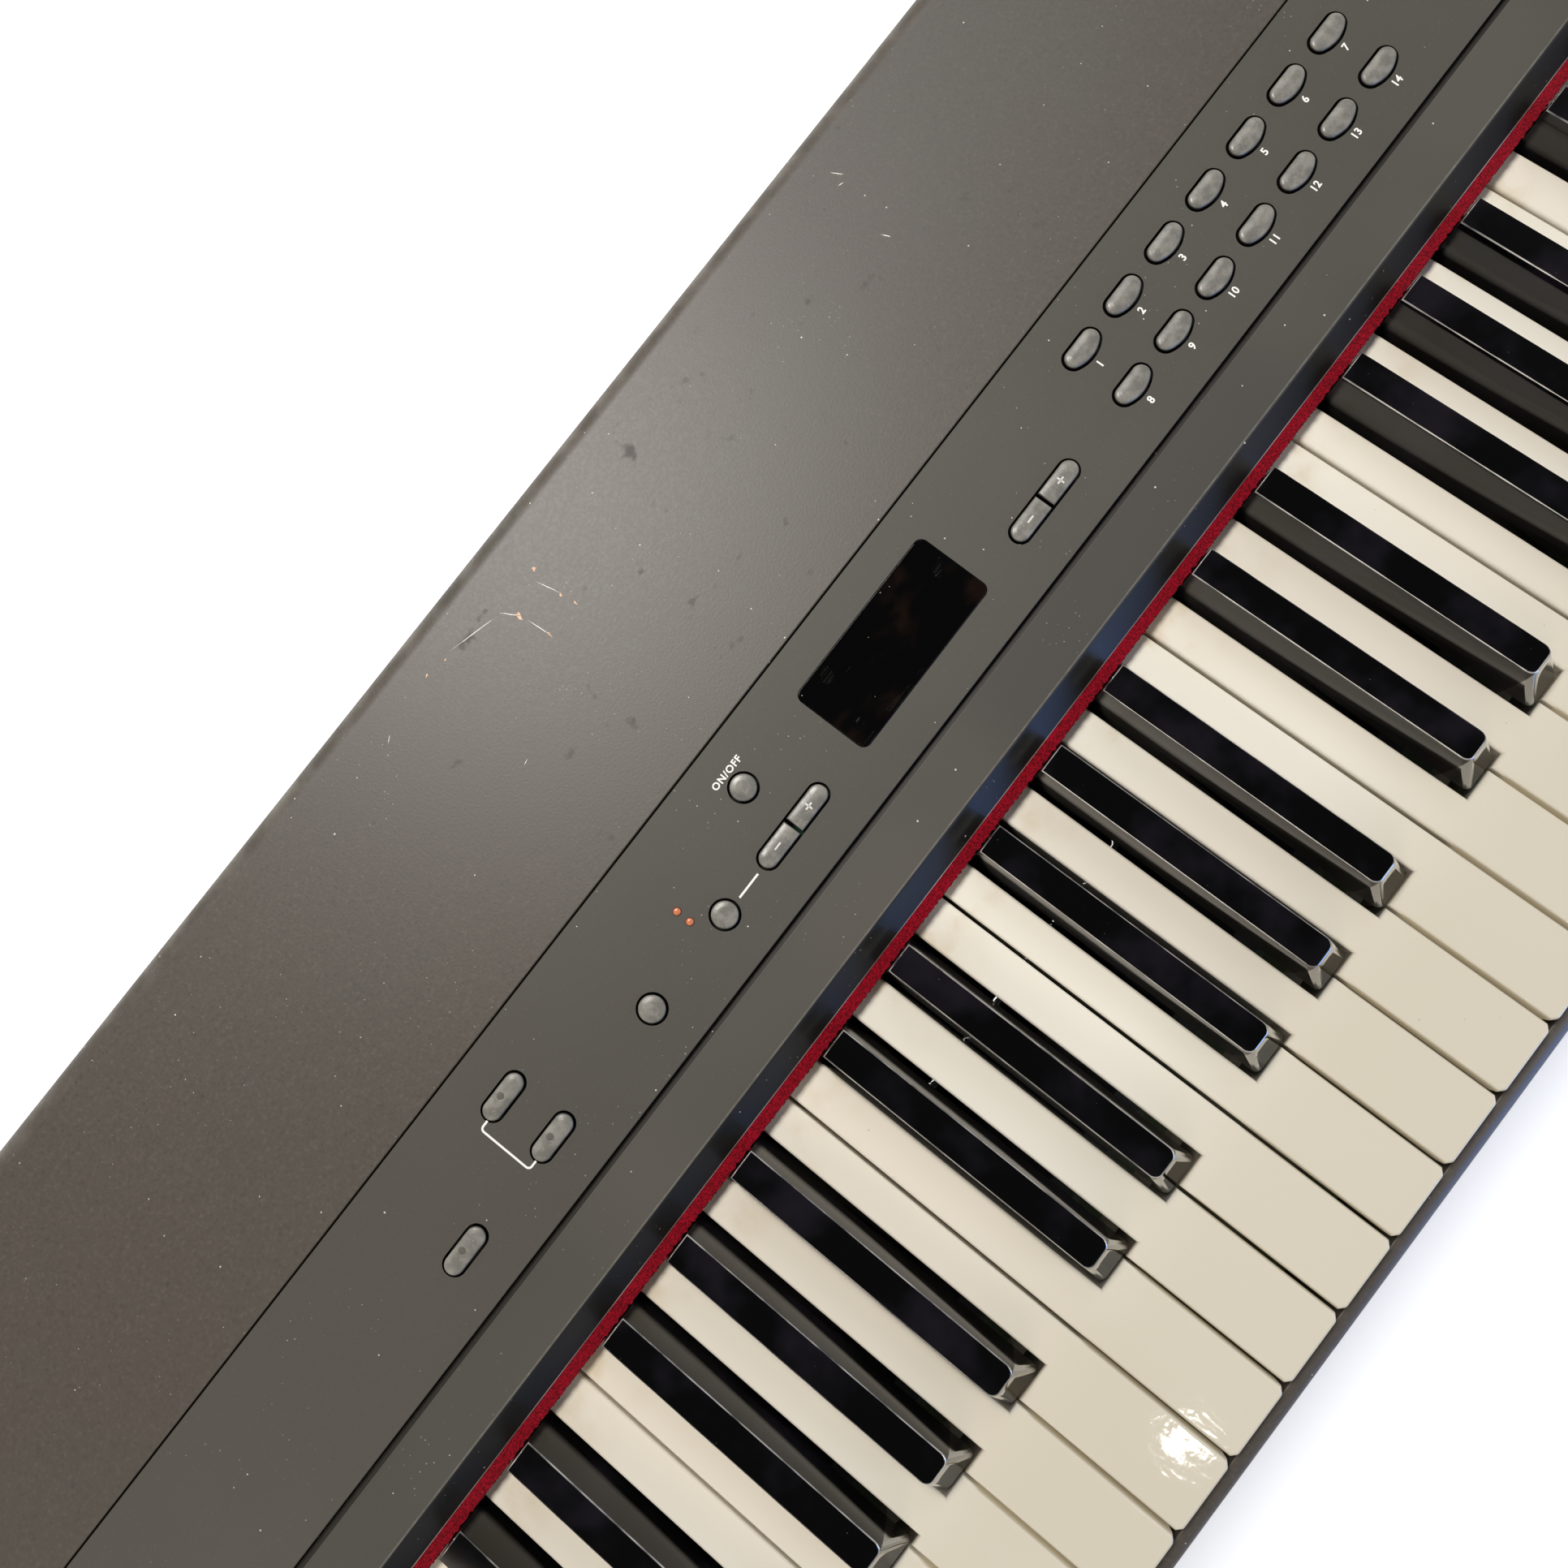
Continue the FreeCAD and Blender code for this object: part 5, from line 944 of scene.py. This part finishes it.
# Wear on the cover: flakes of paint knocked off near the rear edge, down to copper-brown primer,
# and scratches dragged across it, down to bare metal.
CHIPS = (  # place along X, in front of the rear face, length and width in mm, turn in degrees
    (-175.2, 25.6, 3.6, 1.3, 66), (-161.9, 20.2, 1.7, 1.2, 30), (-174.0, 36.0, 2.6, 0.5, 80),
    (-163.2, 31.4, 1.4, 0.9, 70), (-162.4, 36.3, 2.0, 0.5, 82), (-204.8, 14.8, 1.6, 0.6, 15),
    (-198.0, 16.2, 1.2, 0.5, 5),
)
SCRATCHES = (
    (-187.0, 18.0, 17.5, 0.28, -16), (-176.4, 23.0, 7.2, 0.3, -62), (-163.6, 27.0, 9.0, 0.26, -78),
    (-174.3, 32.2, 8.4, 0.3, -86), (-16.4, 17.6, 4.6, 0.34, -64), (-18.4, 20.6, 2.2, 0.3, -20),
    (-23.8, 41.2, 3.6, 0.34, -70), (-225.6, 17.8, 3.0, 0.22, 30), (-206.5, 53.9, 2.4, 0.2, 10),
)

FLAKE_LIFT = 0.02 * MM

primer = Finish("copper_primer", Roughness=0.55)
primer.set(Base_Color=blend(srgb(196, 128, 84), srgb(236, 212, 184), primer.cloud(0.7 * MM)))
bare = Finish("bare_scratch", Roughness=0.5)
bare.set(Base_Color=blend(srgb(214, 206, 192), srgb(242, 238, 230), bare.cloud(1.5 * MM)))


def flake(x, behind, length, width, turn, corners):
    """A thin ragged flake that lies on the top of the cover."""
    shape = bmesh.new()
    bmesh.ops.create_circle(shape, cap_ends=True, segments=corners, radius=1)
    for number, vert in enumerate(shape.verts):
        vert.co *= 0.8 + 0.3 * sin(number * 2.4 + x)
    bmesh.ops.scale(shape, vec=(length * MM / 2, width * MM / 2, 1), verts=shape.verts)
    turned = Matrix.Rotation(radians(turn), 4, "Z")
    at = Matrix.Translation((x * MM, high[1] - behind * MM, high[2] + FLAKE_LIFT))
    bmesh.ops.transform(shape, matrix=at @ turned, verts=shape.verts)
    bmesh.ops.recalc_face_normals(shape, faces=shape.faces)
    return shape


piece(gather(flake(*chip, 9) for chip in CHIPS), "cover_chips", primer)
piece(gather(flake(*scratch, 12) for scratch in SCRATCHES), "cover_scratches", bare)

# Key slip and rear panel: rails in the paint of the cover that close the case at the front and
# the rear. The long edges of the slip are broken, and the rear panel keeps its packed form.
SLIP_EDGE = 0.3 * MM

slip = soften(merged("key_slip"), SLIP_EDGE, 2, lengthwise, crisp=60)
piece(slip, "painted_key_slip", cover_paint, stands_for=["key_slip"])
paint(cover_paint, "rear_panel")

# End blocks: hollow black mouldings with a fine spark-eroded texture that close both ends of the
# case. The longer edges of their upper half are rounded in the mould.
BLOCK_EDGE, LONG_EDGE, SHARP_BELOW = 0.7 * MM, 12 * MM, 60 * MM

block_plastic = Finish("end_block_plastic")
block_plastic.set(
    Base_Color=blend(srgb(46, 45, 44), srgb(58, 56, 54), block_plastic.cloud(30 * MM)),
    Roughness=0.5 + block_plastic.cloud(0.7 * MM, seed=3) * 0.12,
)
block_plastic.relief(block_plastic.cloud(0.5 * MM), 0.03 * MM)
for side in ("left", "right"):
    node = side + "_end_block"
    low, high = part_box(node)
    block = soften(
        merged(node), BLOCK_EDGE, 3,
        lambda e: e.calc_length() > LONG_EDGE and between(e, low[2] + SHARP_BELOW, high[2]), crisp=50,
    )
    piece(block, side + "_block", block_plastic, stands_for=[node])

# Rear sockets and power button: black moulded jacks, round sockets and the inlet stand on the main
# board behind holes in the rear panel. The black push button comes out of it and is rounded.
POWER_EDGE, POWER_CAP_START = 0.5 * MM, 155 * MM

paint(black_plastic, "rear_sockets")
power = merged("power_button")
soften(power, POWER_EDGE, 3, lambda e: e.verts[0].co.y > POWER_CAP_START, crisp=50)
piece(power, "power_cap", black_plastic, "power_button", ["power_button"])
